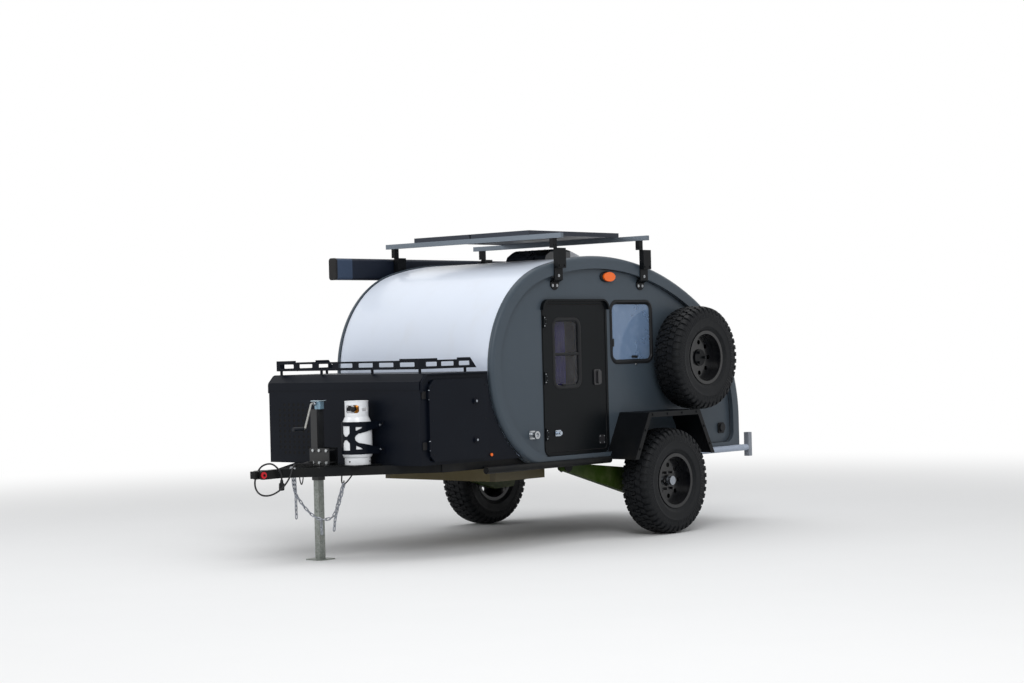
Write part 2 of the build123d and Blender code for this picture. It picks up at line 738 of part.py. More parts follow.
# Wheels on the road and the spare: rim barrel, disc with round holes, hub
hole_count = 8
hole_r = 18.0
hole_pitch = 118.0
spare_y = axle_y + fender_top_half + 123
spare_z = fender_top + tyre_r - 5
spare_gap = 5.0
carrier_plate, carrier_post = 300.0, 90.0
carrier_flange_r, carrier_hub_r = 90.0, 64.0
carrier_nut_pitch, carrier_nut_l = 44.0, 20.0
spare_x = wall_out + rim_proud + spare_gap + tyre_w / 2
PLACES = (("left", wheel_x, 1, axle_y, tyre_r), ("right", -wheel_x, -1, axle_y, tyre_r),
          ("spare", spare_x, 1, spare_y, spare_z))
for name, x, s, y, z in PLACES:
    spin = Plane(origin=(0, y, z), x_dir=(1, 0, 0), z_dir=(0, -1, 0))
    axis = Axis((0, y, z), (1, 0, 0))
    disc_x = x + s * (rim_w / 2 - disc_depth)
    bore_r = carrier_hub_r + 1 if name == "spare" else spindle_r + run_fit
    with BuildPart() as wheel:
        with BuildSketch(spin):
            with BuildLine():
                Polyline(*wheel_profile(x, s), close=True)
            make_face()
        revolve(axis=axis)
        with BuildSketch(Plane(origin=(disc_x, y, z), x_dir=(0, 1, 0), z_dir=(-s, 0, 0))):
            Circle(bead_r - rim_t + 1)
            with PolarLocations(hole_pitch, hole_count):
                Circle(hole_r, mode=Mode.SUBTRACT)
            if name == "spare":
                Circle(bore_r, mode=Mode.SUBTRACT)
        extrude(amount=rim_t)
        if name != "spare":
            with BuildSketch(Plane(origin=(disc_x - s * rim_t, y, z), x_dir=(0, 1, 0), z_dir=(-s, 0, 0))):
                Circle(drum_r)
                Circle(bore_r, mode=Mode.SUBTRACT)
            extrude(amount=drum_l)
            with BuildSketch(Plane(origin=(disc_x, y, z), x_dir=(0, 1, 0), z_dir=(s, 0, 0))):
                Circle(hub_r + 10)
            extrude(amount=hub_step)
            with BuildSketch(Plane(origin=(disc_x + s * hub_step, y, z), x_dir=(0, 1, 0), z_dir=(s, 0, 0))):
                Circle(hub_r)
            extrude(amount=hub_cap)
            with BuildSketch(Plane(origin=(disc_x, y, z), x_dir=(0, 1, 0), z_dir=(s, 0, 0))):
                with PolarLocations(lug_pitch, lug_count):
                    RegularPolygon(lug_r, 6)
            extrude(amount=lug_l)
    save(wheel, "spare_wheel" if name == "spare" else f"wheel_{name}")
    with BuildPart() as tyre:
        with BuildSketch(spin):
            with BuildLine():
                Polyline(*tyre_profile(x, s), close=True)
            make_face()
        revolve(axis=axis)
    save(tyre, "spare_tyre" if name == "spare" else f"tyre_{name}")

# Carrier that holds the spare on the left wall
spare_disc = spare_x + rim_w / 2 - disc_depth - rim_t
with BuildPart() as carrier:
    with BuildSketch(Plane.YZ.offset(wall_out)):
        with Locations((spare_y, spare_z)):
            RectangleRounded(carrier_plate, carrier_plate, 30)
    extrude(amount=8)
    with BuildSketch(Plane.YZ.offset(wall_out + 8)):
        with Locations((spare_y, spare_z)):
            Rectangle(carrier_post, carrier_post)
    extrude(amount=spare_disc - wall_out - 18)
    with BuildSketch(Plane.YZ.offset(spare_disc - 10)):
        with Locations((spare_y, spare_z)):
            Circle(carrier_flange_r)
    extrude(amount=10)
    with BuildSketch(Plane.YZ.offset(spare_disc)):
        with Locations((spare_y, spare_z)):
            Circle(carrier_hub_r)
    extrude(amount=rim_t + 12)
    with BuildSketch(Plane.YZ.offset(spare_disc + rim_t + 12)):
        with Locations((spare_y, spare_z)):
            with PolarLocations(carrier_nut_pitch, 3):
                RegularPolygon(lug_r, 6)
    extrude(amount=carrier_nut_l)
save(carrier, "spare_carrier")

# Fenders: bent sheet with an outer flange

def fender_outline(inset):
    """Trapezoid of the fender moved in, open at its foot."""
    side = inset * sqrt(1 + fender_slant * fender_slant)
    top = fender_top - inset
    top_half = fender_top_half + fender_slant * inset - side
    low = fender_low - (1 if inset else 0)
    low_half = top_half + fender_slant * (top - low)
    Polyline((axle_y - low_half, low), (axle_y - top_half, top), (axle_y + top_half, top),
             (axle_y + low_half, low), close=True)


with BuildPart() as fenders:
    for side, s in SIDES:
        with BuildSketch(Plane.YZ.offset(s * wall_out)):
            with BuildLine():
                fender_outline(0)
            make_face()
            with BuildLine():
                fender_outline(fender_t)
            make_face(mode=Mode.SUBTRACT)
        extrude(amount=s * (fender_out - wall_out))
        with BuildSketch(Plane.YZ.offset(s * fender_out)):
            with BuildLine():
                fender_outline(0)
            make_face()
            with BuildLine():
                fender_outline(flange_w)
            make_face(mode=Mode.SUBTRACT)
        extrude(amount=-s * fender_t)
        with BuildSketch(Plane.YZ.offset(s * wall_out)):
            with Locations((axle_y, fender_low - 1)):
                Rectangle(2 * fender_low_half + 2, sill_top + gap - fender_low, align=(Align.CENTER, Align.MIN))
        extrude(amount=s * (rim_proud + seat), mode=Mode.SUBTRACT)
save(fenders, "fenders")

# Side tubes in front of and behind the wheels, on stubs from the rails
bar_r = 25.0
bar_x = wall_out + 48.0
bar_z = 585.0
stub_h = 14.0
stub_z = frame_low + 9
post_w = 45.0
front_bar = (axle_y - 1860.0, axle_y - fender_low_half - 11)
rear_bar = (axle_y + fender_low_half + 31, tail_end_y - post_w)
with BuildPart() as side_bars:
    for side, s in SIDES:
        with BuildSketch(Plane.XZ.offset(-front_bar[0])):
            with Locations((s * bar_x, bar_z)):
                Circle(bar_r)
        extrude(amount=-(front_bar[1] - front_bar[0]))
        for y in (front_bar[0] + 90, front_bar[1] - 90):
            with BuildSketch(Plane.YZ.offset(s * wall_in)):
                with Locations((y, stub_z)):
                    Rectangle(50, stub_h)
            extrude(amount=s * (bar_x - wall_in))
save(side_bars, "side_bars")

# Rear bumper: side tubes, end posts and cross tube
post_low, post_high = 514.0, 706.0
post_y = tail_end_y - post_w / 2
with BuildPart() as bumper:
    for side, s in SIDES:
        with BuildSketch(Plane.XZ.offset(-rear_bar[0])):
            with Locations((s * bar_x, bar_z)):
                Circle(bar_r)
        extrude(amount=-(rear_bar[1] - rear_bar[0]))
        with BuildSketch(Plane.YZ.offset(s * wall_in)):
            with Locations((rear_bar[0] + 60, stub_z), (frame_rear - 80, stub_z)):
                Rectangle(50, stub_h)
        extrude(amount=s * (bar_x - wall_in))
        with BuildSketch(Plane.XY.offset(post_low)):
            with Locations((s * bar_x, post_y)):
                Rectangle(post_w, post_w)
        extrude(amount=post_high - post_low)
    with BuildSketch(Plane.YZ.offset(-bar_x)):
        with Locations((post_y, bar_z)):
            Circle(bar_r - 5)
    extrude(amount=2 * bar_x)
save(bumper, "rear_bumper")

# Hitch receiver under the rear bumper
receiver_out = 64.0
receiver_in = 51.0
receiver_z = bar_z - bar_r + 5 - receiver_out / 2
receiver_front = frame_rear - 200.0
pin_r = 8.2
pin_y = tail_end_y - 65.0
with BuildPart() as receiver:
    with BuildSketch(Plane.XZ.offset(-receiver_front)):
        with Locations((0, receiver_z)):
            Rectangle(receiver_out, receiver_out)
            Rectangle(receiver_in, receiver_in, mode=Mode.SUBTRACT)
    extrude(amount=-(tail_end_y - receiver_front))
    with BuildSketch(Plane.YZ.offset(-receiver_out / 2)):
        with Locations((pin_y, receiver_z)):
            Circle(pin_r)
    extrude(amount=receiver_out, mode=Mode.SUBTRACT)
    with BuildSketch(Plane.XY.offset(receiver_z + receiver_out / 2)):
        with Locations((0, frame_rear - cross_w / 2)):
            Rectangle(receiver_out, cross_w)
    extrude(amount=frame_low - receiver_z - receiver_out / 2)
save(receiver, "hitch_receiver")

# Tan box under the floor
under_half = rail_in - 101.0
under_front, under_rear = axle_y - 1500.0, axle_y - 960.0
under_low = 475.0
with BuildPart() as underfloor:
    with BuildSketch(Plane.XY.offset(under_low)):
        with Locations((0, (under_front + under_rear) / 2)):
            Rectangle(2 * under_half, under_rear - under_front)
    extrude(amount=frame_low - under_low)
save(underfloor, "underfloor_box")

# Front box: shell with side door openings, its rear cut to the cabin's nose
door_y0, door_y1, door_z0, door_z1 = box_door
open_edge = 14.0
box_rear = nose_y + 60
box_hinge_x = box_half + 25.0
box_hinge_zs = (783.0, 1131.0)
with BuildPart() as front_box:
    with BuildSketch(Plane.YZ):
        with BuildLine():
            Polyline((box_front, frame_top), (box_front, box_lip_top), (box_front + box_slope, box_top),
                     (box_rear, box_top), (box_rear, frame_top), close=True)
        make_face()
        with Locations(nose_c):
            Circle(nose_r + box_gap, mode=Mode.SUBTRACT)
    extrude(amount=box_half, both=True)
    with BuildSketch(Plane.YZ):
        with BuildLine():
            Polyline((box_front + box_t, frame_top + box_t), (box_front + box_t, box_lip_top - 3),
                     (box_front + box_slope + 3, box_top - box_t), (box_rear, box_top - box_t),
                     (box_rear, frame_top + box_t), close=True)
        make_face()
        with Locations(nose_c):
            Circle(nose_r + box_gap + box_t, mode=Mode.SUBTRACT)
    extrude(amount=box_half - box_t, both=True, mode=Mode.SUBTRACT)
    with BuildSketch(Plane.YZ):
        with Locations(((door_y0 + door_y1) / 2, (door_z0 + door_z1) / 2)):
            Rectangle(door_y1 - door_y0 - 2 * open_edge, door_z1 - door_z0 - 2 * open_edge)
        with Locations(nose_c):
            Circle(nose_r + box_gap + box_t + 4, mode=Mode.SUBTRACT)
    extrude(amount=box_half, both=True, mode=Mode.SUBTRACT)
    for side, s in SIDES:
        for z in box_hinge_zs:
            with BuildSketch(Plane.XY.offset(z - box_hinge_l / 2)):
                with Locations((s * box_hinge_x, door_y0 - box_hinge_gap)):
                    Circle(barrel_r)
                with Locations((s * (box_half + box_hinge_x) / 2, door_y0 - box_hinge_gap)):
                    Rectangle(box_hinge_x - box_half + 2, 2 * barrel_r - 3)
                with Locations((s * (box_half + 2), door_y0 - box_hinge_gap)):
                    Rectangle(6, 44, align=(Align.CENTER, Align.MAX))
            extrude(amount=box_hinge_l)
save(front_box, "front_box")

# Lip along the box front, and round beads over its doors that turn down at the front corners
trim_r = 8.0
trim_end = 1150.0
with BuildPart() as box_trim:
    with BuildSketch(Plane.YZ):
        with Locations((box_front, box_lip_top)):
            Rectangle(6, box_lip_h, align=(Align.MAX, Align.MAX))
    extrude(amount=box_half, both=True)
    for side, s in SIDES:
        x = s * (box_half + trim_r)
        with BuildLine() as trim_path:
            FilletPolyline((x, door_y1 - 5, box_top - trim_r), (x, box_front + box_slope, box_top - trim_r),
                           (x, box_front + trim_r, box_lip_top - trim_r), (x, box_front + trim_r, trim_end),
                           radius=30)
        with BuildSketch(Plane(origin=(x, door_y1 - 5, box_top - trim_r), z_dir=(0, -1, 0))):
            Circle(trim_r)
        sweep(path=trim_path.wires()[0])
save(box_trim, "box_trim")

# Side doors of the front box, hinged at their front edges
box_door_t = 20.0
corner_cut = 45.0
box_latch_y = axle_y - 1922.0
box_latch_zs = (803.0, 1074.0)
for side, s in SIDES:
    with BuildPart() as box_leaf:
        with BuildSketch(Plane.YZ.offset(s * (box_half + seat))):
            with Locations(((door_y0 + door_y1) / 2, (door_z0 + door_z1) / 2)):
                Rectangle(door_y1 - door_y0, door_z1 - door_z0 - gap)
        extrude(amount=s * box_door_t)
        chamfer(box_leaf.edges().filter_by(Axis.X), corner_cut)
        for z in box_latch_zs:
            with BuildSketch(Plane.YZ.offset(s * (box_half + seat + box_door_t))):
                with Locations((box_latch_y, z)):
                    RectangleRounded(74, 44, 20)
            extrude(amount=s * 5)
            with BuildSketch(Plane.YZ.offset(s * (box_half + seat + box_door_t + 5))):
                with Locations((box_latch_y - 6, z)):
                    RectangleRounded(50, 26, 10)
            extrude(amount=s * 8)
    save(box_leaf, f"box_door_{side}")

# Slotted tray rail on top of the front box, its top edge raised towards the corners
rack_half = box_half - 44.0
rack_low, rack_high = 1308.0, 1381.0
rack_dip = 12.0
rack_t = 5.0
rack_front = box_front + 40.0
rack_rear = axle_y - 1841.0
corner_raise = 185.0
end_raise = 130.0
slot_h = 30.0
slot_z = 1341.0
front_slots, front_pitch, front_slot_w = 7, 205.0, 145.0
side_slots = ((axle_y - 2291.0, 110.0), (axle_y - 2133.0, 128.0), (axle_y - 1965.0, 110.0))
post_size = 14.0
post_places = ((0.36, rack_front + rack_t + post_size / 2), (0.99, rack_front + 30.0), (0.99, axle_y - 1940.0))
with BuildPart() as rack:
    with BuildSketch(Plane.XZ.offset(-rack_front)):
        with Locations((0, (rack_low + rack_high) / 2)):
            Rectangle(2 * rack_half, rack_high - rack_low)
        with Locations((0, rack_high)):
            Rectangle(2 * (rack_half - corner_raise), 2 * rack_dip, mode=Mode.SUBTRACT)
        with Locations((0, slot_z)):
            with GridLocations(front_pitch, 0, front_slots, 1):
                RectangleRounded(front_slot_w, slot_h, 6, mode=Mode.SUBTRACT)
    extrude(amount=-rack_t)
    for s in (1, -1):
        with BuildSketch(Plane.YZ.offset(s * rack_half)):
            with BuildLine():
                Polyline((rack_front, rack_low), (rack_front, rack_high),
                         (rack_front + corner_raise, rack_high), (rack_front + corner_raise, rack_high - rack_dip),
                         (rack_rear - 64 - end_raise, rack_high - rack_dip), (rack_rear - 64 - end_raise, rack_high),
                         (rack_rear - 64, rack_high), (rack_rear, rack_low), close=True)
            make_face()
            for y, w in side_slots:
                with Locations((y, slot_z)):
                    RectangleRounded(w, slot_h, 6, mode=Mode.SUBTRACT)
        extrude(amount=-s * rack_t)
        for share, y in post_places:
            with BuildSketch(Plane.XY.offset(box_top)):
                with Locations((s * (rack_half - rack_t) * share - (s * post_size / 2 if share > 0.9 else 0), y)):
                    Rectangle(post_size, post_size)
            extrude(amount=rack_low + 16 - box_top)
save(rack, "box_rack")

# Gas cylinder on its shelf with a strap band
gas_y = box_front - gas_r - 14
gas_low = frame_top + plate_t
gas_shoulder = 942.0
gas_neck = 988.0
gas_top = 1012.0
collar_r = 82.0
foot_ring_r = 90.0
collar_top = 1098.0
collar_slot = (100.0, 56.0, 1044.0, -68.0)
side_slot = (50.0, 24.0, 1040.0)
with BuildPart() as cylinder:
    with BuildSketch(Plane.XY.offset(gas_low + 40)):
        with Locations((gas_x, gas_y)):
            Circle(gas_r)
    extrude(amount=gas_shoulder - gas_low - 40)
    fillet(cylinder.edges().group_by(Axis.Z)[0], 34)
    with BuildSketch(Plane.XY.offset(gas_shoulder)):
        with Locations((gas_x, gas_y)):
            Circle(gas_r)
    with BuildSketch(Plane.XY.offset(gas_neck)):
        with Locations((gas_x, gas_y)):
            Circle(collar_r + 2)
    loft()
    with BuildSketch(Plane.XY.offset(gas_neck)):
        with Locations((gas_x, gas_y)):
            Circle(collar_r + 2)
    with BuildSketch(Plane.XY.offset(gas_top)):
        with Locations((gas_x, gas_y)):
            Circle(gas_r * 0.55)
    loft()
    with BuildSketch(Plane.XY.offset(gas_low)):
        with Locations((gas_x, gas_y)):
            Circle(foot_ring_r)
            Circle(foot_ring_r - 4, mode=Mode.SUBTRACT)
    extrude(amount=60)
    with BuildSketch(Plane.XY.offset(gas_neck - 3)):
        with Locations((gas_x, gas_y)):
            Circle(collar_r)
            Circle(collar_r - 4, mode=Mode.SUBTRACT)
    extrude(amount=collar_top - gas_neck + 3)
    turn = radians(collar_slot[3])
    with BuildSketch(Plane(origin=(gas_x, gas_y, collar_slot[2]), x_dir=(-sin(turn), cos(turn), 0),
                           z_dir=(cos(turn), sin(turn), 0))):
        RectangleRounded(collar_slot[0], collar_slot[1], 18)
    extrude(amount=150, mode=Mode.SUBTRACT)
    with BuildSketch(Plane.YZ.offset(gas_x)):
        with Locations((gas_y, side_slot[2])):
            SlotOverall(side_slot[0], side_slot[1])
    extrude(amount=150, both=True, mode=Mode.SUBTRACT)
save(cylinder, "gas_cylinder")

with BuildPart() as valve:
    with BuildSketch(Plane.XY.offset(gas_top)):
        with Locations((gas_x, gas_y)):
            Circle(17)
    extrude(amount=52)
    with BuildSketch(Plane.XZ.offset(-(gas_y - 10))):
        with Locations((gas_x, gas_top + 30)):
            Circle(13)
    extrude(amount=38)
    with BuildSketch(Plane.XY.offset(gas_top + 52)):
        with Locations((gas_x, gas_y)):
            Circle(24)
    extrude(amount=22)
save(valve, "gas_valve")

# Holder around the cylinder: bent sheet with front windows and a lens-shaped cut in each side
band_low, band_high = 733.0, 956.0
band_t = 4.0
band_gap = 1.0
band_in = gas_r + band_gap
band_mid = (band_low + band_high) / 2
small_window_turn = 54.0
with BuildPart() as band:
    with BuildSketch(Plane.XY.offset(band_low)):
        with Locations((gas_x, gas_y)):
            Circle(band_in + band_t)
            Circle(band_in, mode=Mode.SUBTRACT)
            with Locations((0, 150)):
                Rectangle(400, 300, mode=Mode.SUBTRACT)
        for s in (1, -1):
            with Locations((gas_x + s * (band_in + band_t / 2), gas_y)):
                Rectangle(band_t, box_front - gas_y, align=(Align.CENTER, Align.MIN))
            with Locations((gas_x + s * (band_in + band_t), box_front)):
                Rectangle(s * 46, band_t, align=(Align.MIN, Align.MAX))
    extrude(amount=band_high - band_low)
    with BuildSketch(Plane.XZ.offset(-gas_y)):
        for s in (1, -1):
            with BuildLine():
                Polyline((gas_x - 34, band_mid + s * 84), (gas_x + 34, band_mid + s * 84),
                         (gas_x + 34, band_mid + s * 34), (gas_x + 12, band_mid + s * 12),
                         (gas_x - 12, band_mid + s * 12), (gas_x - 34, band_mid + s * 34), close=True)
            make_face()
    extrude(amount=200, mode=Mode.SUBTRACT)
    with BuildSketch(Plane.YZ.offset(gas_x - 200)):
        with BuildLine():
            Polyline((gas_y - 66, band_mid - 32), (box_front + 1, band_mid - 72), (box_front + 1, band_mid + 72),
                     (gas_y - 66, band_mid + 32))
            RadiusArc((gas_y - 66, band_mid + 32), (gas_y - 66, band_mid - 32), -36)
        make_face()
    extrude(amount=400, mode=Mode.SUBTRACT)
    for s in (1, -1):
        turn = radians(small_window_turn)
        with BuildSketch(Plane(origin=(gas_x, gas_y, band_mid), x_dir=(s * cos(turn), sin(turn), 0),
                               z_dir=(s * sin(turn), -cos(turn), 0))):
            for up in (1, -1):
                with BuildLine():
                    Polyline((-24, up * 77), (24, up * 77), (12, up * 66), (-22, up * 51),
                             close=True)
                make_face()
        extrude(amount=200, mode=Mode.SUBTRACT)
save(band, "gas_holder")

# Roof brackets with clamps, crossbars and solar panels
bar_ys = (axle_y - 1089.0, axle_y - 92.0)
foot_offset = 40.0
rack_bar_low = 2226.0
rack_bar_h = 36.0
block_top = 2156.0
block_low = 2010.0
awning_gap = 12.0
foot_z = 1896.0
foot_r = 44.0
bracket_w = 90.0
plate_in = wall_out + rim_proud + 2
block_out = plate_in + 43.0
rack_bar_half = block_out + 57.0
with BuildPart() as roof_brackets:
    for side, s in SIDES:
        for y in bar_ys:
            mid = y + foot_offset + 20
            with BuildSketch(Plane.YZ.offset(s * wall_out)):
                with Locations((mid, foot_z)):
                    Circle(foot_r)
            extrude(amount=s * 8)
            with BuildSketch(Plane.XZ.offset(-(mid - bracket_w / 2))):
                with BuildLine():
                    Polyline((s * wall_out, foot_z - 20), (s * (wall_out + 8), foot_z - 20),
                             (s * (wall_out + 8), foot_z + 10), (s * (plate_in + 8), foot_z + 28),
                             (s * (plate_in + 8), block_low), (s * block_out, block_low),
                             (s * block_out, block_top), (s * plate_in, block_top),
                             (s * plate_in, foot_z + 32), (s * wall_out, foot_z + 16), close=True)
                make_face()
            extrude(amount=-bracket_w)
            with BuildSketch(Plane.XY.offset(block_top)):
                with Locations((s * (block_out - 30), y)):
                    Rectangle(36, 44)
            extrude(amount=rack_bar_low - block_top)
    for y in bar_ys:
        with BuildSketch(Plane.YZ.offset(-block_out)):
            with Locations((y + foot_offset + 20, (block_low + block_top) / 2)):
                Rectangle(bracket_w - 20, block_top - block_low - 20)
        extrude(amount=-awning_gap)
save(roof_brackets, "roof_brackets")

bar_depth = 30.0
with BuildPart() as crossbars:
    for y in bar_ys:
        with BuildSketch(Plane.XY.offset(rack_bar_low)):
            with Locations((0, y)):
                Rectangle(2 * rack_bar_half, bar_depth)
        extrude(amount=rack_bar_h)
save(crossbars, "crossbars")

panel_w = 585.0
panel_l = 1040.0
panel_t = 34.0
panel_y = sum(bar_ys) / 2 + 10
with BuildPart() as solar:
    with BuildSketch(Plane.XY.offset(rack_bar_low + rack_bar_h)):
        with Locations((-panel_w / 2 - 6, panel_y), (panel_w / 2 + 6, panel_y)):
            Rectangle(panel_w, panel_l)
    extrude(amount=panel_t)
save(solar, "solar_panels")

# Roof vent: flange that follows the roof, and a hood over it that slopes down to front and rear
vent_base = 2105.0
hood_top = 2188.0
hood_half = 202.0
with BuildPart() as vent:
    with BuildSketch(Plane.YZ):
        with Locations((vent_y, vent_base)):
            Rectangle(vent_size, 120, align=(Align.CENTER, Align.MAX))
        with BuildLine():
            cabin_outline(skin_inset - seat, frame_top)
        make_face(mode=Mode.SUBTRACT)
    extrude(amount=vent_size / 2, both=True)
    with BuildSketch(Plane.YZ):
        with BuildLine():
            Polyline((vent_y - 205, vent_base), (vent_y - 190, vent_base + 34), (vent_y - 105, hood_top),
                     (vent_y + 65, hood_top), (vent_y + 200, vent_base + 38), (vent_y + 212, vent_base), close=True)
        make_face()
    extrude(amount=hood_half, both=True)
    fillet(vent.edges().filter_by(Axis.X, reverse=True).group_by(Axis.Z)[-1], 22)
save(vent, "roof_vent")

# Awning case on the right brackets
awning_in = block_out + awning_gap
awning_depth = 80.0
awning_low, awning_high = 1985.0, 2150.0
awning_y = axle_y - 1680.0
awning_l = 2115.0
with BuildPart() as awning:
    with BuildSketch(Plane.XZ.offset(-awning_y)):
        with Locations((-awning_in - awning_depth / 2, (awning_low + awning_high) / 2)):
            RectangleRounded(awning_depth, awning_high - awning_low, 22)
    extrude(amount=-awning_l)
save(awning, "awning_case")

# Lamps on walls, box sides and the rear apron
marker_y, marker_z = axle_y - 421.0, 1951.0
tail_lamp_x = wall_in - 134.0
tail_lamp_z = 712.0
tail_lamp_r = 50.0
tail_lamp_t = 22.0
box_marker_y, box_marker_z = axle_y - 1762.0, 690.0
with BuildPart() as markers:
    for side, s in SIDES:
        with BuildSketch(Plane.YZ.offset(s * wall_out)):
            with Locations((marker_y, marker_z)):
                Ellipse(66, 35)
        extrude(amount=s * 28)
        with BuildSketch(Plane.YZ.offset(s * box_half)):
            with Locations((box_marker_y, box_marker_z)):
                Circle(11)
        extrude(amount=s * 10)
save(markers, "side_markers")

inlet_y, inlet_z = tail_y - 220.0, 754.0
inlet_w, inlet_h, inlet_t = 78.0, 84.0, 10.0
inlet_lid_r, inlet_lid_t = 33.0, 16.0
with BuildPart() as inlet:
    with BuildSketch(Plane.YZ.offset(wall_out)):
        with Locations((inlet_y, inlet_z)):
            RectangleRounded(inlet_w, inlet_h, 16)
    extrude(amount=inlet_t)
    with BuildSketch(Plane.YZ.offset(wall_out + inlet_t)):
        with Locations((inlet_y, inlet_z + 4)):
            Circle(inlet_lid_r)
    extrude(amount=inlet_lid_t)
save(inlet, "power_inlet")

with BuildPart() as tail_lamps:
    with BuildSketch(Plane.XZ.offset(-(tail_y - skin_inset))):
        with Locations((-tail_lamp_x, tail_lamp_z), (tail_lamp_x, tail_lamp_z)):
            Circle(tail_lamp_r)
    extrude(amount=-tail_lamp_t)
save(tail_lamps, "tail_lamps")

# Electrical cable: gland on the drawbar, hanging loop and plug
cable_d = 12.0
gland_y = tongue_rear - 30.0
gland_z = frame_top + plate_t
gland_x = 45.0
gland_w, gland_l, gland_h = 34.0, 40.0, 30.0
with BuildPart() as gland:
    with BuildSketch(Plane.XY.offset(gland_z)):
        with Locations((gland_x, gland_y)):
            RectangleRounded(gland_w, gland_l, 6)
    extrude(amount=gland_h)
save(gland, "cable_gland")

plug_neck_r, plug_neck_l = 11.0, 22.0
plug_r, plug_l = 19.0, 48.0
WAYPOINTS = ((45, 20, 26), (45, 75, 28), (50, 122, 27), (70, 168, 24), (94, 205, -4), (99, 236, -60),
             (97, 296, -122), (78, 365, -164), (26, 405, -174), (-30, 416, -150), (-70, 406, -96),
             (-79, 380, -34), (-58, 358, 22), (-14, 336, 43), (28, 318, 40), (60, 296, 2), (60, 272, -38),
             (54, 268, -72))
ROUTE = [(x, gland_y - ahead, frame_top + up) for x, ahead, up in WAYPOINTS]


def corner_radius(before, point, after):
    """Largest arc that two runs allow: a share of the shorter run over the tangent of half the turn."""
    a, b = Vector(*point) - Vector(*before), Vector(*after) - Vector(*point)
    turn = radians(a.get_angle(b))
    return 0.45 * min(a.length, b.length) / tan(turn / 2)


radii = [corner_radius(*ROUTE[k - 1:k + 2]) for k in range(1, len(ROUTE) - 1)]
print("cable radii", [round(r) for r in radii])
runs = [(Vector(*ROUTE[k + 1]) - Vector(*ROUTE[k])).length for k in range(len(ROUTE) - 1)]
print("cable runs", [round(r) for r in runs])
with BuildPart() as cable:
    with BuildLine() as cable_line:
        FilletPolyline(*ROUTE, radius=radii)
    with BuildSketch(Plane(origin=ROUTE[0], z_dir=Vector(*ROUTE[1]) - Vector(*ROUTE[0]))):
        Circle(cable_d / 2)
    sweep(path=cable_line.wires()[0])
print("cable length", round(cable_line.wires()[0].length),
      "volume over section times length",
      round(cable.part.volume / (3.14159265 * cable_d ** 2 / 4 * cable_line.wires()[0].length), 4))
save(cable, "trailer_cable")

plug_dir = Vector(*ROUTE[-1]) - Vector(*ROUTE[-2])
with BuildPart() as plug:
    with BuildSketch(Plane(origin=ROUTE[-1], z_dir=plug_dir)):
        Circle(plug_neck_r)
    extrude(amount=plug_neck_l)
    with BuildSketch(Plane(origin=Vector(*ROUTE[-1]) + plug_dir.normalized() * plug_neck_l, z_dir=plug_dir)):
        Circle(plug_r)
    extrude(amount=plug_l)
save(plug, "cable_plug")
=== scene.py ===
"""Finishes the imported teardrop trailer: paint, tyres, glass, cloth, chains, cable and a studio stage."""

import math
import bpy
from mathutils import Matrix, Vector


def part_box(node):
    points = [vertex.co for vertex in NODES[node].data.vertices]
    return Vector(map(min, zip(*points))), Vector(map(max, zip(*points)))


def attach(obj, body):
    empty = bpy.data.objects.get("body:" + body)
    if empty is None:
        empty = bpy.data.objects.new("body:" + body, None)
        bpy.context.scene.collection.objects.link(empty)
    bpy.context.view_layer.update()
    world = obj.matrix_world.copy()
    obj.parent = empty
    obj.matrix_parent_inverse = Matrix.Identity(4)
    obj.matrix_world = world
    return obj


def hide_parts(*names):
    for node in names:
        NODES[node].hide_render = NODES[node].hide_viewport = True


bl_info = {
    "name": "Teardrop trailer finish",
    "version": (1, 0, 0),
    "blender": (4, 5, 0),
    "location": "3D View > Sidebar > Trailer",
    "description": "Adds paint, tyres, windows, cloth, chains, fasteners and a stage to the packed trailer",
    "category": "Object",
}

import bmesh
import bpy
from mathutils import Matrix, Vector

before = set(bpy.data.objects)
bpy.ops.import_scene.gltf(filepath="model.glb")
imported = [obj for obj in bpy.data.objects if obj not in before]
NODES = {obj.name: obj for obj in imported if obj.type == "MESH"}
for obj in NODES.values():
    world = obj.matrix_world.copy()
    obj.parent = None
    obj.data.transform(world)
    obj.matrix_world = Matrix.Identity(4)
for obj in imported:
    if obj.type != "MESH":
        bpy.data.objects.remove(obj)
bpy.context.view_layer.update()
SIDES = (("left", 1), ("right", -1))

# Places on the trailer and sizes that several pieces share, in metres
AXLE = 1.010
WALL_OUT = 0.762
WALL_IN = 0.724
NOSE_END = math.radians(105)
NOSE_R, ROOF_R, TAIL_R = 0.765, 2.400, 1.090
NOSE_Y, NOSE_Z = AXLE - 1.000, 1.285
ROOF_Y = NOSE_Y - (ROOF_R - NOSE_R) * math.cos(NOSE_END)
ROOF_Z = NOSE_Z - (ROOF_R - NOSE_R) * math.sin(NOSE_END)
TAIL_Y = AXLE + 1.175
RIM_BAND = 0.095
SKIN_HALF = 0.760
SILL_TOP = 0.640
SKIN_INSET = 0.010
HATCH_Y = AXLE + 0.380
GALLEY_FACE = HATCH_Y + 0.490
BOX_FRONT = AXLE - 2.459
BOX_HALF = 0.771
DOOR = (AXLE - 0.812, 1.2075, 0.674, 1.073)
DOOR_WINDOW = (AXLE - 0.9065, 1.3875, 0.315, 0.519)
SIDE_WINDOW = (AXLE - 0.146, 1.5355, 0.498, 0.469)
WINDOW_R = 0.070
TYRE_R = 0.400
DOOR_HINGE_ZS = (0.800, 1.210, 1.620)
BOX_HINGE = (0.796, AXLE - 2.397)
MARKER_BASE = (AXLE - 0.431, 1.951)
FENDER_OUT = 1.0481
MERGE = 0.00002
VENT_Y = AXLE - 0.280
GAS = (0.270, BOX_FRONT - 0.118)
JACK_Y = AXLE - 2.700
BAR_YS = (AXLE - 1.089, AXLE - 0.092)


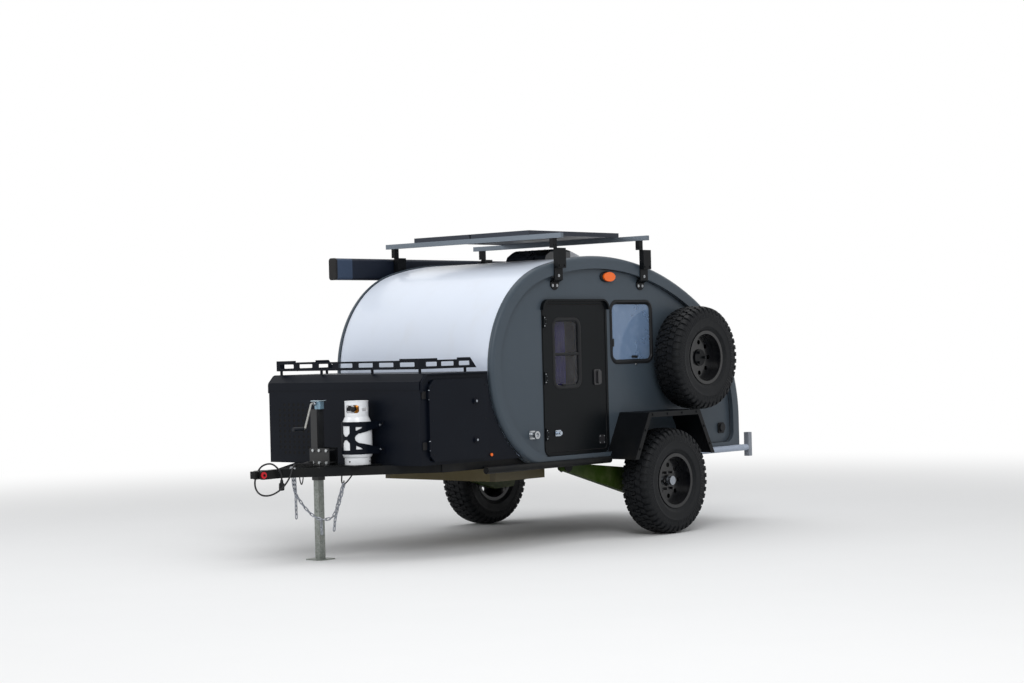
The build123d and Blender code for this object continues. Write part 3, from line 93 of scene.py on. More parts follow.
def hue(code):
    """Linear colour of a web colour code."""
    parts = [int(code[k:k + 2], 16) / 255 for k in (1, 3, 5)]
    return tuple(p / 12.92 if p <= 0.04045 else ((p + 0.055) / 1.055) ** 2.4 for p in parts)


def paint_property(title, about, code):
    """A colour setting with a web colour code as its default."""
    return bpy.props.FloatVectorProperty(name=title, description=about, subtype="COLOR", size=3,
                                         min=0.0, max=1.0, default=hue(code))


def length_property(title, about, metres):
    """A length setting in metres."""
    return bpy.props.FloatProperty(name=title, description=about, unit="LENGTH", min=0.0, default=metres)


class TrailerPaint(bpy.types.PropertyGroup):
    wall: paint_property("Walls", "Paint of the side walls and their rims", "#3c4751")
    skin: paint_property("Skin", "Gloss paint of nose, roof and hatch", "#d3dbe8")
    door: paint_property("Doors", "Paint of the entry doors and their frames", "#070c10")
    box: paint_property("Front box", "Textured coat of the front box and its rack", "#050b16")
    steel: paint_property("Frame", "Powder coat of chassis, drawbar and brackets", "#080b0f")
    arm: paint_property("Trailing arms", "Gloss coat of the trailing arms", "#263c05")
    wheel: paint_property("Wheels", "Coat of the steel wheels", "#05070c")
    tan: paint_property("Underfloor box", "Tan plastic under the floor", "#594c16")
    gas: paint_property("Gas cylinder", "Enamel of the gas cylinder", "#e0e3e7")
    awning: paint_property("Awning case", "Cover of the awning case", "#0c1626")
    dust: paint_property("Dust", "Road dust on low parts", "#8d8570")


class TrailerTyres(bpy.types.PropertyGroup):
    pitches: bpy.props.IntProperty(name="Pitches", description="Tread pitches around a tyre", min=12, default=44)
    radius: length_property("Radius", "Height of the tread above the axle", TYRE_R)
    depth: length_property("Tread depth", "Depth of the grooves", 0.013)


class TrailerTrim(bpy.types.PropertyGroup):
    seal: length_property("Seal", "Radius of the rubber beads", 0.0032)
    bolt: length_property("Bolt", "Radius of the larger bolt heads", 0.009)
    screw: length_property("Screw", "Radius of the small screw heads", 0.0055)
    hole: length_property("Vent hole", "Diameter of the holes in the box front", 0.024)
    across: length_property("Hole pitch", "Distance between holes across", 0.0500)
    down: length_property("Row pitch", "Distance between rows of holes", 0.0382)


class TrailerRigging(bpy.types.PropertyGroup):
    cable: length_property("Cable", "Diameter of the trailer cable", 0.012)
    wire: length_property("Chain wire", "Diameter of the chain's wire", 0.0078)
    link: length_property("Chain pitch", "Distance between links", 0.028)


class TrailerCloth(bpy.types.PropertyGroup):
    pleats: bpy.props.IntProperty(name="Pleats", description="Pleats of a door curtain", min=2, default=7)
    curtain: paint_property("Curtain", "Cloth of the door curtains", "#4a3aa8")
    # the Shade colour is the pale sheet behind the side panes, which paints the sky's reflection in them
    shade: paint_property("Shade", "Cloth of the window shades", "#c9d6e2")
    ticking: paint_property("Ticking", "Cloth of the mattress", "#b9b4a8")


class TrailerStage(bpy.types.PropertyGroup):
    lens: bpy.props.FloatProperty(name="Lens", description="Focal length", unit="CAMERA", min=1.0, default=74.0)
    stand: bpy.props.FloatVectorProperty(name="Camera", description="Place of the camera", subtype="XYZ",
                                         default=(10.837, -11.624, 1.461))
    turn: bpy.props.FloatVectorProperty(name="Aim", description="Yaw, pitch and roll of the camera",
                                        subtype="EULER",
                                        default=[math.radians(a) for a in (42.147, 0.082, -1.441)])
    floor: paint_property("Floor", "Colour of the studio floor", "#e6e7e8")
    key: bpy.props.FloatProperty(name="Key lamp", description="Power of the main lamp", unit="POWER", min=0.0,
                                 default=420.0)
    sky: bpy.props.FloatProperty(name="Sky", description="Light of the sky on the trailer", min=0.0, default=0.62)


class Ink:
    """A value on a shader socket, so that sums on it read as Python."""

    def __init__(self, finish, socket):
        self.finish = finish
        self.socket = socket

    def sum(self, kind, *values):
        return self.finish.add("ShaderNodeMath", {"operation": kind}, dict(enumerate(values)))

    def __add__(self, other):
        return self.sum("ADD", self, other)

    __radd__ = __add__

    def __sub__(self, other):
        return self.sum("SUBTRACT", self, other)

    def __rsub__(self, other):
        return self.sum("SUBTRACT", other, self)

    def __mul__(self, other):
        return self.sum("MULTIPLY", self, other)

    __rmul__ = __mul__

    def __truediv__(self, other):
        return self.sum("DIVIDE", self, other)

    def __pow__(self, other):
        return self.sum("POWER", self, other)

    def __abs__(self):
        return self.sum("ABSOLUTE", self)

    def __mod__(self, other):
        return self.sum("FLOORED_MODULO", self, other)

    def sine(self):
        return self.sum("SINE", self)

    def __gt__(self, other):
        return self.sum("GREATER_THAN", self, other)

    def __lt__(self, other):
        return self.sum("LESS_THAN", self, other)

    def __and__(self, other):
        return self.sum("MINIMUM", self, other)

    def __or__(self, other):
        return self.sum("MAXIMUM", self, other)


class Finish:
    """A material being mixed, with its shader and the object's own coordinates."""

    def __init__(self, name, **values):
        self.material = bpy.data.materials.new(name)
        self.material.use_nodes = True
        self.tree = self.material.node_tree
        self.tree.nodes.clear()
        self.shader = self.tree.nodes.new("ShaderNodeBsdfPrincipled")
        self.out = self.tree.nodes.new("ShaderNodeOutputMaterial")
        self.tree.links.new(self.shader.outputs[0], self.out.inputs[0])
        self.place = self.add("ShaderNodeTexCoord", out="Object")
        self.x, self.y, self.z = (self.add("ShaderNodeSeparateXYZ", None, {0: self.place}, k) for k in range(3))
        self.feed(**values)

    def add(self, kind, settings=None, sockets=None, out=0):
        """Adds a node, sets it and its sockets, and returns one output."""
        node = self.tree.nodes.new(kind)
        for key, value in (settings or {}).items():
            setattr(node, key, value)
        for key, value in (sockets or {}).items():
            self.join(node.inputs[key], value)
        return Ink(self, node.outputs[out])

    def join(self, socket, value):
        """Links an output to a socket, or sets the socket's own value."""
        if isinstance(value, Ink):
            self.tree.links.new(value.socket, socket)
        elif socket.type == "RGBA" and len(value) == 3:
            socket.default_value = (*value, 1)
        else:
            socket.default_value = value

    def feed(self, **values):
        """Gives the shader's sockets their values, written with underscores for spaces."""
        for key, value in values.items():
            self.join(self.shader.inputs[key.replace("_", " ")], value)

    def noise(self, scale, detail=3.0, rough=0.55, stretch=None):
        """Noise over the object's coordinates, which may be stretched along each axis."""
        where = self.place
        if stretch:
            where = self.add("ShaderNodeVectorMath", {"operation": "MULTIPLY"}, {0: where, 1: stretch})
        return self.add("ShaderNodeTexNoise", None,
                        {"Vector": where, "Scale": scale, "Detail": detail, "Roughness": rough})

    def cells(self, scale, out="Distance"):
        """Cells over the object's coordinates."""
        return self.add("ShaderNodeTexVoronoi", None, {"Vector": self.place, "Scale": scale}, out)

    def ease(self, value, low, high):
        """Goes smoothly from 0 at low to 1 at high."""
        return self.add("ShaderNodeMapRange", {"interpolation_type": "SMOOTHSTEP"},
                        {"Value": value, "From Min": low, "From Max": high})

    def mix(self, share, first, second):
        """A colour between two colours."""
        return self.add("ShaderNodeMix", {"data_type": "RGBA"}, {0: share, 6: first, 7: second}, 2)

    def bump(self, height, strength, distance):
        """Feeds the shader's normal from a height."""
        self.feed(Normal=self.add("ShaderNodeBump", None,
                                  {"Height": height, "Strength": strength, "Distance": distance}))

    def dusted(self, colour, dust, top, share):
        """A colour with road dust that thins out with height."""
        near = 1 - self.ease(self.z, 0.15, top)
        patch = self.ease(self.noise(7.0, 5.0, 0.65), 0.35, 0.75)
        return self.mix(near * patch * share, colour, dust)


def lighter(colour, share):
    """A colour moved towards white by a share."""
    return tuple(c + (1 - c) * share for c in colour)


def darker(colour, share):
    """A colour moved towards black by a share."""
    return tuple(c * (1 - share) for c in colour)


def powder_coat(name, colour, dust, grain=650.0, rough=0.36, top=0.9, share=0.07):
    """Black powder coat with a fine grain, softer patches and road dust."""
    f = Finish(name, Specular_IOR_Level=0.12)
    patch = f.noise(5.0, 4.0)
    base = f.mix(patch, darker(colour, 0.25), lighter(colour, 0.004))
    f.feed(Base_Color=f.dusted(base, dust, top, share), Roughness=rough - 0.08 + patch * 0.18)
    f.bump(f.noise(grain, 2.0, 0.6), 0.22, 0.0004)
    return f.material


def wall_paint(paint):
    """Satin paint of the walls, with faint roller texture, rain streaks and dust along the sill."""
    f = Finish("wall_paint", Coat_Roughness=0.22, Coat_Weight=0.04, Specular_IOR_Level=0.22)
    broad = f.noise(1.6, 3.0)
    streak = f.ease(f.noise(9.0, 4.0, 0.6, (1.0, 6.0, 0.5)), 0.52, 0.80)
    base = f.mix(broad, darker(paint.wall, 0.10), lighter(paint.wall, 0.015))
    base = f.mix(streak * 0.10, base, darker(paint.wall, 0.35))
    f.feed(Base_Color=f.dusted(base, paint.dust, 0.95, 0.10), Roughness=0.36 + broad * 0.10)
    f.bump(f.noise(420.0, 2.0, 0.5), 0.10, 0.0004)
    return f.material


def skin_paint(paint):
    """White gloss of the nose, roof and hatch, its handle left black, and its lower part tinted blue-grey as painted
    shade.
    """
    f = Finish("skin_gloss", Coat_Weight=0.22, Coat_Roughness=0.12, Specular_IOR_Level=0.35)
    broad = f.noise(2.2, 3.0)
    # painted shade: below 1.75 m the skin is mixed towards blue-grey, most strongly below 0.75 m
    foot = 1 - f.ease(f.z, 0.75, 1.75)
    film = f.ease(f.noise(6.0, 5.0, 0.6, (1.0, 1.0, 0.4)), 0.45, 0.85)
    base = f.mix(broad * 0.6, paint.skin, darker(paint.skin, 0.05))
    base = f.mix(foot * 0.6, base, hue("#a9bbd8"))
    base = f.mix(film * 0.12, base, lighter(paint.dust, 0.35))
    handle = f.y > TAIL_Y - SKIN_INSET + 0.0015
    f.feed(Base_Color=f.mix(handle, base, (0.012, 0.012, 0.013)), Roughness=0.30 + film * 0.10 + handle * 0.15)
    f.bump(f.noise(55.0, 2.0, 0.4), 0.05, 0.0008)
    return f.material


def door_paint(paint):
    """Dark satin of the doors and frames, lighter where hands have rubbed."""
    f = Finish("door_paint", Coat_Weight=0.02, Coat_Roughness=0.2, Specular_IOR_Level=0.10)
    broad = f.noise(3.0, 4.0)
    base = f.mix(broad, darker(paint.door, 0.25), lighter(paint.door, 0.003))
    f.feed(Base_Color=f.dusted(base, paint.dust, 1.0, 0.02), Roughness=0.28 + broad * 0.14)
    f.bump(f.noise(380.0, 2.0, 0.5), 0.12, 0.0004)
    return f.material


def galvanised(name, tint, rough=0.38):
    """Zinc with its spangle and dull stains."""
    f = Finish(name, Metallic=1.0)
    spangle = f.cells(90.0, out="Color")
    grey = f.add("ShaderNodeSeparateColor", None, {0: spangle})
    stain = f.ease(f.noise(14.0, 5.0, 0.65), 0.5, 0.8)
    base = f.mix(grey * 0.5, darker(tint, 0.12), lighter(tint, 0.25))
    f.feed(Base_Color=f.mix(stain * 0.5, base, (0.20, 0.19, 0.17)), Roughness=rough + grey * 0.12 + stain * 0.2)
    f.bump(f.noise(160.0, 3.0), 0.12, 0.0005)
    return f.material


def polished(name, tint, rough):
    """Bright plated metal with fine rub marks."""
    f = Finish(name, Metallic=1.0)
    rub = f.noise(220.0, 3.0, 0.6, (1.0, 1.0, 0.25))
    f.feed(Base_Color=f.mix(rub, darker(tint, 0.12), tint), Roughness=rough + rub * 0.12)
    f.bump(rub, 0.06, 0.0003)
    return f.material


def brushed_bar(name, tint):
    """Anodised aluminium drawn along the trailer's width."""
    f = Finish(name, Metallic=0.85)
    grain = f.noise(60.0, 4.0, 0.6, (0.4, 14.0, 14.0))
    f.feed(Base_Color=f.mix(grain, darker(tint, 0.1), lighter(tint, 0.12)), Roughness=0.34 + grain * 0.14)
    f.bump(grain, 0.10, 0.0004)
    return f.material


def rubber(name, tint, grain=300.0, rough=0.62):
    """Black rubber with a dry bloom."""
    f = Finish(name, Specular_IOR_Level=0.25)
    bloom = f.ease(f.noise(9.0, 5.0, 0.6), 0.35, 0.8)
    f.feed(Base_Color=f.mix(bloom * 0.6, tint, lighter(tint, 0.012)), Roughness=rough + bloom * 0.15)
    f.bump(f.noise(grain, 3.0), 0.2, 0.0005)
    return f.material


def tyre_rubber(dust, tint=(0.0040, 0.0050, 0.0066)):
    """Tyre rubber, dusty in its grooves and along its foot."""
    f = Finish("tyre_rubber", Specular_IOR_Level=0.18)
    bloom = f.ease(f.noise(11.0, 5.0, 0.65), 0.3, 0.8)
    grit = f.noise(240.0, 4.0, 0.6)
    base = f.mix(bloom * 0.5, tint, lighter(tint, 0.014))
    base = f.mix(f.ease(grit, 0.55, 0.9) * 0.04, base, dust)
    f.feed(Base_Color=base, Roughness=0.50 + bloom * 0.22)
    f.bump(grit, 0.25, 0.0006)
    return f.material


def moulded(name, tint, rough=0.45, grain=500.0):
    """Moulded plastic with a leather-like grain."""
    f = Finish(name, Specular_IOR_Level=0.14)
    broad = f.noise(12.0, 3.0)
    f.feed(Base_Color=f.mix(broad, darker(tint, 0.15), lighter(tint, 0.006)), Roughness=rough + broad * 0.12)
    f.bump(f.cells(grain), 0.12, 0.0004)
    return f.material


def wheel_coat(paint):
    """Satin black of the steel wheels with bright hub caps, and dust in the dish."""
    f = Finish("wheel_coat", Coat_Weight=0.35, Coat_Roughness=0.08, Specular_IOR_Level=0.25)
    broad = f.noise(8.0, 4.0)
    away = ((f.y - AXLE) * (f.y - AXLE) + (f.z - TYRE_R) * (f.z - TYRE_R)) ** 0.5
    cap = (away < 0.0345) & (abs(f.x) > 0.975)
    base = f.mix(broad, darker(paint.wheel, 0.2), lighter(paint.wheel, 0.005))
    base = f.mix(f.ease(f.noise(30.0, 4.0), 0.6, 0.9) * 0.05, base, paint.dust)
    f.feed(Base_Color=f.mix(cap, base, hue("#8d939b")), Metallic=cap * 0.9, Roughness=0.24 + broad * 0.10)
    f.bump(f.noise(300.0, 2.0), 0.12, 0.0004)
    return f.material


def box_coat(paint):
    """Textured navy-black coat of the front box."""
    f = Finish("box_coat", Specular_IOR_Level=0.09)
    patch = f.noise(3.0, 4.0)
    base = f.mix(patch, darker(paint.box, 0.2), lighter(paint.box, 0.003))
    f.feed(Base_Color=f.dusted(base, paint.dust, 1.0, 0.02), Roughness=0.32 + patch * 0.14)
    f.bump(f.noise(520.0, 3.0, 0.65), 0.22, 0.0004)
    return f.material


def jack_coat(paint):
    """Black jack tube under a blue-grey plated gear head."""
    f = Finish("jack_coat")
    patch = f.noise(9.0, 4.0)
    head = f.z > 1.0465
    bolt = (f.y < JACK_Y - 0.0405) & (f.z < 0.9)
    bright = head | bolt
    base = f.mix(patch, darker(paint.steel, 0.2), lighter(paint.steel, 0.008))
    plated = f.mix(patch, hue("#5f7f92"), hue("#8fa9b8"))
    base = f.mix(head, f.dusted(base, paint.dust, 1.0, 0.05), plated)
    f.feed(Base_Color=f.mix(bolt, base, hue("#b9bcbe")), Metallic=bright * 0.85, Roughness=0.40 + patch * 0.12)
    f.bump(f.noise(420.0, 2.0), 0.18, 0.0004)
    return f.material


def crank_plate():
    """Dull plated crank with a black sleeve on its grip."""
    f = Finish("crank_plate", Specular_IOR_Level=0.2)
    rub = f.noise(220.0, 3.0, 0.6, (1.0, 1.0, 0.25))
    grip = f.y < JACK_Y - 0.138
    plated = f.mix(rub, (0.20, 0.20, 0.19), (0.30, 0.30, 0.29))
    f.feed(Base_Color=f.mix(grip, plated, (0.008, 0.010, 0.014)), Metallic=(1 - grip) * 0.85,
           Roughness=0.38 + rub * 0.12)
    f.bump(rub, 0.06, 0.0003)
    return f.material


def tan_box(paint):
    """Tan plastic of the underfloor box, its end plates darkened as painted shade."""
    f = Finish("tan_box")
    # painted shade: the end plates, more than 0.512 m out, are mixed towards a darker tan
    end = abs(f.x) > 0.512
    patch = f.noise(4.0, 5.0, 0.6)
    base = f.mix(patch, darker(paint.tan, 0.22), lighter(paint.tan, 0.06))
    f.feed(Base_Color=f.mix(end * 0.6, base, darker(paint.tan, 0.75)), Roughness=0.62 + patch * 0.15 - end * 0.2)
    f.bump(f.noise(90.0, 3.0), 0.15, 0.0008)
    return f.material


def panel_glass():
    """Solar panels: black cells under glass with thin bus lines, in aluminium frames."""
    f = Finish("panel_glass", Coat_Weight=0.08, Coat_Roughness=0.05, Specular_IOR_Level=0.15)
    pitch_x, pitch_y, low, high = 0.0975, 0.104, 0.022, 0.978
    cell_x = ((f.x + 0.5910) % pitch_x) / pitch_x
    cell_y = ((f.y - (AXLE - 1.1105)) % pitch_y) / pitch_y
    gap = (cell_x < low) | (cell_x > high) | (cell_y < low) | (cell_y > high)
    bus = (abs(cell_x - 0.33) < 0.008) | (abs(cell_x - 0.67) < 0.008)
    rim_x = (abs(f.x) > 0.571) | (abs(f.x) < 0.026)
    rim_y = abs(f.y - (AXLE - 0.5805)) > 0.500
    top = f.z > 2.2945
    edge = (rim_x | rim_y) | (1 - top)
    tone = f.noise(6.0, 2.0)
    cell = f.mix(tone, (0.006, 0.008, 0.016), (0.010, 0.014, 0.028))
    cell = f.mix(bus, cell, (0.22, 0.23, 0.25))
    cell = f.mix(gap, cell, (0.045, 0.050, 0.060))
    f.feed(Base_Color=f.mix(edge, cell, hue("#33373f")), Metallic=edge * 0.75,
           Roughness=0.10 + edge * 0.28 + tone * 0.04)
    f.bump(f.noise(80.0, 2.0), 0.03, 0.0003)
    return f.material


def vent_plastic():
    """Roof vent: white base and rear, the front of the hood dark grey."""
    f = Finish("vent_plastic", Coat_Weight=0.3, Coat_Roughness=0.15)
    lid = (f.y < VENT_Y + 0.095) & (f.z > 2.1052)
    tone = f.noise(9.0, 3.0)
    white = f.mix(tone, hue("#c9ccd2"), hue("#e3e5e8"))
    # the front of the hood, ahead of VENT_Y + 0.095, gets a dark grey colour
    dark_front = f.mix(tone, hue("#20242b"), hue("#363c46"))
    f.feed(Base_Color=f.mix(lid, white, dark_front), Roughness=0.24 + tone * 0.10)
    f.bump(f.noise(300.0, 2.0), 0.08, 0.0003)
    return f.material


def awning_cover(paint):
    """Awning case: black coated extrusion with a grey front end and a dark cap line."""
    f = Finish("awning_cover", Specular_IOR_Level=0.25)
    start = AXLE - 1.680
    end = f.y < start + 0.17
    line = abs(f.y - (start + 0.012)) < 0.0025
    weave = f.noise(260.0, 2.0, 0.5, (1.0, 0.6, 1.0))
    body = f.mix(weave, darker(paint.awning, 0.15), lighter(paint.awning, 0.004))
    sleeve = f.mix(weave, hue("#2b384c"), hue("#37465c"))
    base = f.mix(line, f.mix(end, body, sleeve), (0.004, 0.004, 0.005))
    f.feed(Base_Color=base, Roughness=0.46 + weave * 0.12)
    f.bump(weave, 0.2, 0.0005)
    return f.material


def lamp_lens(name, tint, glow, base_at, bare):
    """Ribbed lamp plastic over a black base; base_at is how far out the base reaches, bare the axis it faces."""
    f = Finish(name, Coat_Weight=0.15, Coat_Roughness=0.05, Specular_IOR_Level=0.25)
    out = abs(f.x) if bare == "x" else f.y
    base = out < base_at
    rib = abs((f.z % 0.006) / 0.003 - 1)
    tone = f.noise(30.0, 2.0)
    f.feed(Base_Color=f.mix(base, f.mix(tone, tint, lighter(tint, 0.02)), (0.012, 0.012, 0.013)),
           Emission_Color=f.mix(base, glow, (0, 0, 0)), Emission_Strength=0.06, Roughness=0.14 + base * 0.3)
    f.bump(rib, 0.25, 0.0006)
    return f.material


def enamel(paint):
    """White enamel of the gas cylinder with a weld seam, scuffs and rust freckles."""
    f = Finish("gas_enamel", Coat_Weight=0.4, Coat_Roughness=0.12)
    scuff = f.ease(f.noise(24.0, 5.0, 0.7), 0.60, 0.78)
    freckle = f.ease(f.noise(90.0, 3.0, 0.6), 0.70, 0.78)
    low = 1 - f.ease(f.z, 0.66, 0.76)
    base = f.mix(scuff * 0.35, paint.gas, hue("#a9a59b"))
    base = f.mix(freckle * (0.25 + low * 0.6), base, hue("#7c5334"))
    f.feed(Base_Color=base, Roughness=0.26 + scuff * 0.25)
    f.bump(f.noise(130.0, 2.0), 0.08, 0.0005)
    return f.material


def wood_grain(name, light, dark, long_axis):
    """Varnished plywood with its grain along one axis."""
    f = Finish(name, Coat_Weight=0.3, Coat_Roughness=0.2)
    stretch = tuple(1.2 if k == long_axis else 16.0 for k in range(3))
    grain = f.noise(3.0, 6.0, 0.65, stretch)
    vein = f.ease(f.noise(9.0, 3.0, 0.5, stretch), 0.45, 0.65)
    f.feed(Base_Color=f.mix(vein * 0.35, f.mix(grain, dark, light), darker(dark, 0.3)),
           Roughness=0.34 + grain * 0.15)
    f.bump(grain, 0.12, 0.0006)
    return f.material


def cloth(name, tint, warp=520.0, sheen=0.3, fold=0.25):
    """Woven cloth on the piece's own UV map, with crossing threads and soft folds of tone."""
    f = Finish(name, Sheen_Weight=sheen, Specular_IOR_Level=0.25)
    uv = f.add("ShaderNodeUVMap")
    u, v = (f.add("ShaderNodeSeparateXYZ", None, {0: uv}, k) for k in range(2))
    thread = (u * (warp * math.tau)).sine() * (v * (warp * math.tau)).sine()
    tone = f.noise(7.0, 4.0)
    base = f.mix(tone, darker(tint, fold), lighter(tint, 0.08))
    base = f.mix(thread * 0.05 + 0.05, base, darker(tint, 0.5))
    f.feed(Base_Color=base, Roughness=0.80 + tone * 0.12)
    f.bump(thread + f.noise(300.0, 2.0) * 0.5, 0.06, 0.0002)
    return f.material


def window_glass(name, tint, alpha):
    """Acrylic pane: tinted, see-through and glossy, with a faint film of dust."""
    f = Finish(name, Coat_Weight=0.4, Coat_Roughness=0.03, IOR=1.49, Specular_IOR_Level=0.3)
    film = f.ease(f.noise(8.0, 5.0, 0.65), 0.4, 0.85)
    f.feed(Base_Color=f.mix(film * 0.4, tint, lighter(tint, 0.12)), Roughness=0.05 + film * 0.10,
           Alpha=alpha + film * 0.06)
    f.bump(f.noise(3.0, 2.0), 0.02, 0.002)
    return f.material


def handle_black():
    """Black latch bodies with bright striker, bezel and lock plate."""
    f = Finish("handle_black")
    low = f.z < 0.90
    bezel = (f.y > AXLE - 0.546) & (f.z > 0.9) & (abs(f.x) < 0.7745)
    bright = (low & (abs(f.x) > WALL_OUT + 0.0061)) | bezel
    tone = f.noise(40.0, 3.0)
    base = f.mix(tone, (0.010, 0.010, 0.012), (0.022, 0.022, 0.025))
    f.feed(Base_Color=f.mix(bright, base, hue("#a9b2bd")), Metallic=bright * 0.95, Roughness=0.34 - bright * 0.14)
    f.bump(f.noise(420.0, 2.0), 0.10, 0.0003)
    return f.material


def bumper_coat():
    """Rear tubes in worn grey coat with brown dust on the posts."""
    f = Finish("bumper_coat", Metallic=0.2)
    patch = f.noise(12.0, 5.0, 0.65)
    post = (abs(f.x) > 0.787) & (f.y > AXLE + 1.2345)
    base = f.mix(patch, hue("#828d9f"), hue("#b4bfcf"))
    f.feed(Base_Color=f.mix(post * 0.5, base, hue("#5d564c")), Roughness=0.48 + patch * 0.2)
    f.bump(f.noise(260.0, 3.0), 0.16, 0.0005)
    return f.material


def seen_directly(tree):
    """1 for rays from the camera, a reflection or a pane, 0 for those that light a surface."""
    path = tree.nodes.new("ShaderNodeLightPath")
    last = path.outputs["Is Camera Ray"]
    for title in ("Is Glossy Ray", "Is Transmission Ray"):
        larger = tree.nodes.new("ShaderNodeMath")
        larger.operation = "MAXIMUM"
        tree.links.new(last, larger.inputs[0])
        tree.links.new(path.outputs[title], larger.inputs[1])
        last = larger.outputs[0]
    return last


def floor_shade(stage):
    """Pale studio floor that keeps its shadow and goes to white away from the trailer."""
    f = Finish("studio_floor", Roughness=0.9, Specular_IOR_Level=0.1)
    tone = f.noise(1.5, 2.0)
    f.feed(Base_Color=f.mix(tone, stage.floor, darker(stage.floor, 0.02)))
    away = (f.x * f.x + f.y * f.y) ** 0.5
    share = f.ease(away, 4.0, 12.0) * Ink(f, seen_directly(f.tree))
    white = f.add("ShaderNodeEmission")
    both = f.add("ShaderNodeMixShader", None, {0: share, 1: Ink(f, f.shader.outputs[0]), 2: white})
    f.join(f.out.inputs[0], both)
    return f.material


def coat_nodes(paint):
    """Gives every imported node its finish."""
    frame_coat = powder_coat("frame_coat", paint.steel, paint.dust)
    zinc = galvanised("zinc", (0.20, 0.22, 0.20))
    box = box_coat(paint)
    wall = wall_paint(paint)
    skin = skin_paint(paint)
    door = door_paint(paint)
    wheel = wheel_coat(paint)
    black = rubber("black_rubber", (0.012, 0.012, 0.013))
    tyre = tyre_rubber(paint.dust)
    dark = moulded("dark_plastic", (0.014, 0.015, 0.017))
    latch = handle_black()
    finishes = {
        frame_coat: ("chassis_frame", "drawbar", "coupler", "coupler_head", "dampers", "spare_carrier", "fenders",
                     "side_bars", "hitch_receiver", "roof_brackets"),
        zinc: ("jack_leg",),
        polished("plated_steel", (0.46, 0.48, 0.50), 0.24): ("door_catches",),
        crank_plate(): ("jack_crank",),
        jack_coat(paint): ("jack_tube",),
        rubber("red_bushing", hue("#c01f2b"), 200.0, 0.45): ("coupler_bushing",),
        powder_coat("arm_green", paint.arm, paint.dust, 300.0, 0.30, 0.75, 0.3): ("trailing_arms",),
        black: ("air_springs", "trailer_cable", "cable_plug", "cable_gland"),
        tyre: ("tyre_left", "tyre_right", "spare_tyre"),
        wheel: ("wheel_left", "wheel_right", "spare_wheel"),
        bumper_coat(): ("rear_bumper",),
        tan_box(paint): ("underfloor_box",),
        wall: ("side_wall_left", "side_wall_right"),
        skin: ("roof_skin", "galley_hatch"),
        wood_grain("floor_board", (0.050, 0.043, 0.035), (0.022, 0.019, 0.016), 1): ("cabin_floor",),
        wood_grain("galley_ply", hue("#c9a26b"), hue("#a67a45"), 0): ("galley",),
        door: ("door_frames", "entry_door_left", "entry_door_right"),
        dark: ("door_window_left", "door_window_right", "side_windows", "power_inlet"),
        latch: ("door_handle_left", "door_handle_right"),
        box: ("front_box", "box_trim", "box_door_left", "box_door_right", "box_rack", "gas_holder"),
        enamel(paint): ("gas_cylinder",),
        polished("valve_brass", hue("#b07a2c"), 0.30): ("gas_valve",),
        brushed_bar("crossbar_silver", hue("#525e6a")): ("crossbars",),
        panel_glass(): ("solar_panels",),
        vent_plastic(): ("roof_vent",),
        awning_cover(paint): ("awning_case",),
        lamp_lens("marker_amber", hue("#ea6400"), hue("#ea6400"), WALL_OUT + 0.0135, "x"): ("side_markers",),
        lamp_lens("lamp_red", hue("#9c0d12"), hue("#9c0d12"), TAIL_Y - SKIN_INSET + 0.006, "y"): ("tail_lamps",),
        cloth("node_cloth", hue("#8d8a84")): ("mattress", "door_curtain_left", "door_curtain_right"),
    }
    for material, names in finishes.items():
        for name in names:
            NODES[name].data.materials.clear()
            NODES[name].data.materials.append(material)
    bare = sorted(set(NODES) - {n for names in finishes.values() for n in names})
    if bare:
        raise RuntimeError(f"no finish for {bare}")


class Flow:
    """A geometry tree with named inputs, run on a mesh and turned into plain faces."""

    def __init__(self, name, **inputs):
        self.tree = bpy.data.node_groups.new(name, "GeometryNodeTree")
        face = self.tree.interface
        face.new_socket("Geometry", in_out="INPUT", socket_type="NodeSocketGeometry")
        face.new_socket("Geometry", in_out="OUTPUT", socket_type="NodeSocketGeometry")
        self.keys = {}
        for title, kind in inputs.items():
            self.keys[title] = face.new_socket(title, in_out="INPUT", socket_type="NodeSocket" + kind).identifier
        self.source = self.tree.nodes.new("NodeGroupInput")
        self.sink = self.tree.nodes.new("NodeGroupOutput")

    def given(self, title):
        """The tree's own input of that name."""
        return self.source.outputs[title]

    def add(self, kind, settings=None, sockets=None, out=0):
        """Adds a node, sets it and its sockets, and returns one output."""
        node = self.tree.nodes.new(kind)
        for key, value in (settings or {}).items():
            setattr(node, key, value)
        for key, value in (sockets or {}).items():
            if isinstance(value, bpy.types.NodeSocket):
                self.tree.links.new(value, node.inputs[key])
            else:
                node.inputs[key].default_value = value
        return node.outputs[out]

    def lent(self, title):
        """The mesh of the object on the tree's own input of that name."""
        return self.add("GeometryNodeObjectInfo", {"transform_space": "ORIGINAL"}, {"Object": self.given(title)},
                        "Geometry")

    def lay(self, points, source, **more):
        """Instances of a source on points."""
        return self.add("GeometryNodeInstanceOnPoints", None, {"Points": points, "Instance": source, **more})

    def close(self, geometry):
        """Makes instances real, sets the material and ends the tree."""
        real = self.add("GeometryNodeRealizeInstances", None, {0: geometry})
        done = self.add("GeometryNodeSetMaterial", None, {0: real, "Material": self.given("Finish")})
        self.tree.links.new(done, self.sink.inputs[0])

    def run(self, piece, **values):
        """Leaves the tree's result as the piece's plain mesh."""
        modifier = piece.modifiers.new(self.tree.name, "NODES")
        modifier.node_group = self.tree
        for title, value in values.items():
            modifier[self.keys[title]] = value
        return settled(piece)


def ring_flow():
    """Repeats a source mesh around the X axis."""
    flow = Flow("repeat_around", Source="Object", Count="Int", Finish="Material")
    count = flow.given("Count")
    points = flow.add("GeometryNodePoints", None, {"Count": count})
    index = flow.add("GeometryNodeInputIndex")
    share = flow.add("ShaderNodeMath", {"operation": "DIVIDE"}, {0: index, 1: count})
    angle = flow.add("ShaderNodeMath", {"operation": "MULTIPLY"}, {0: share, 1: math.tau})
    turn = flow.add("ShaderNodeCombineXYZ", None, {"X": angle})
    flow.close(flow.lay(points, flow.lent("Source"), Rotation=turn))
    return flow


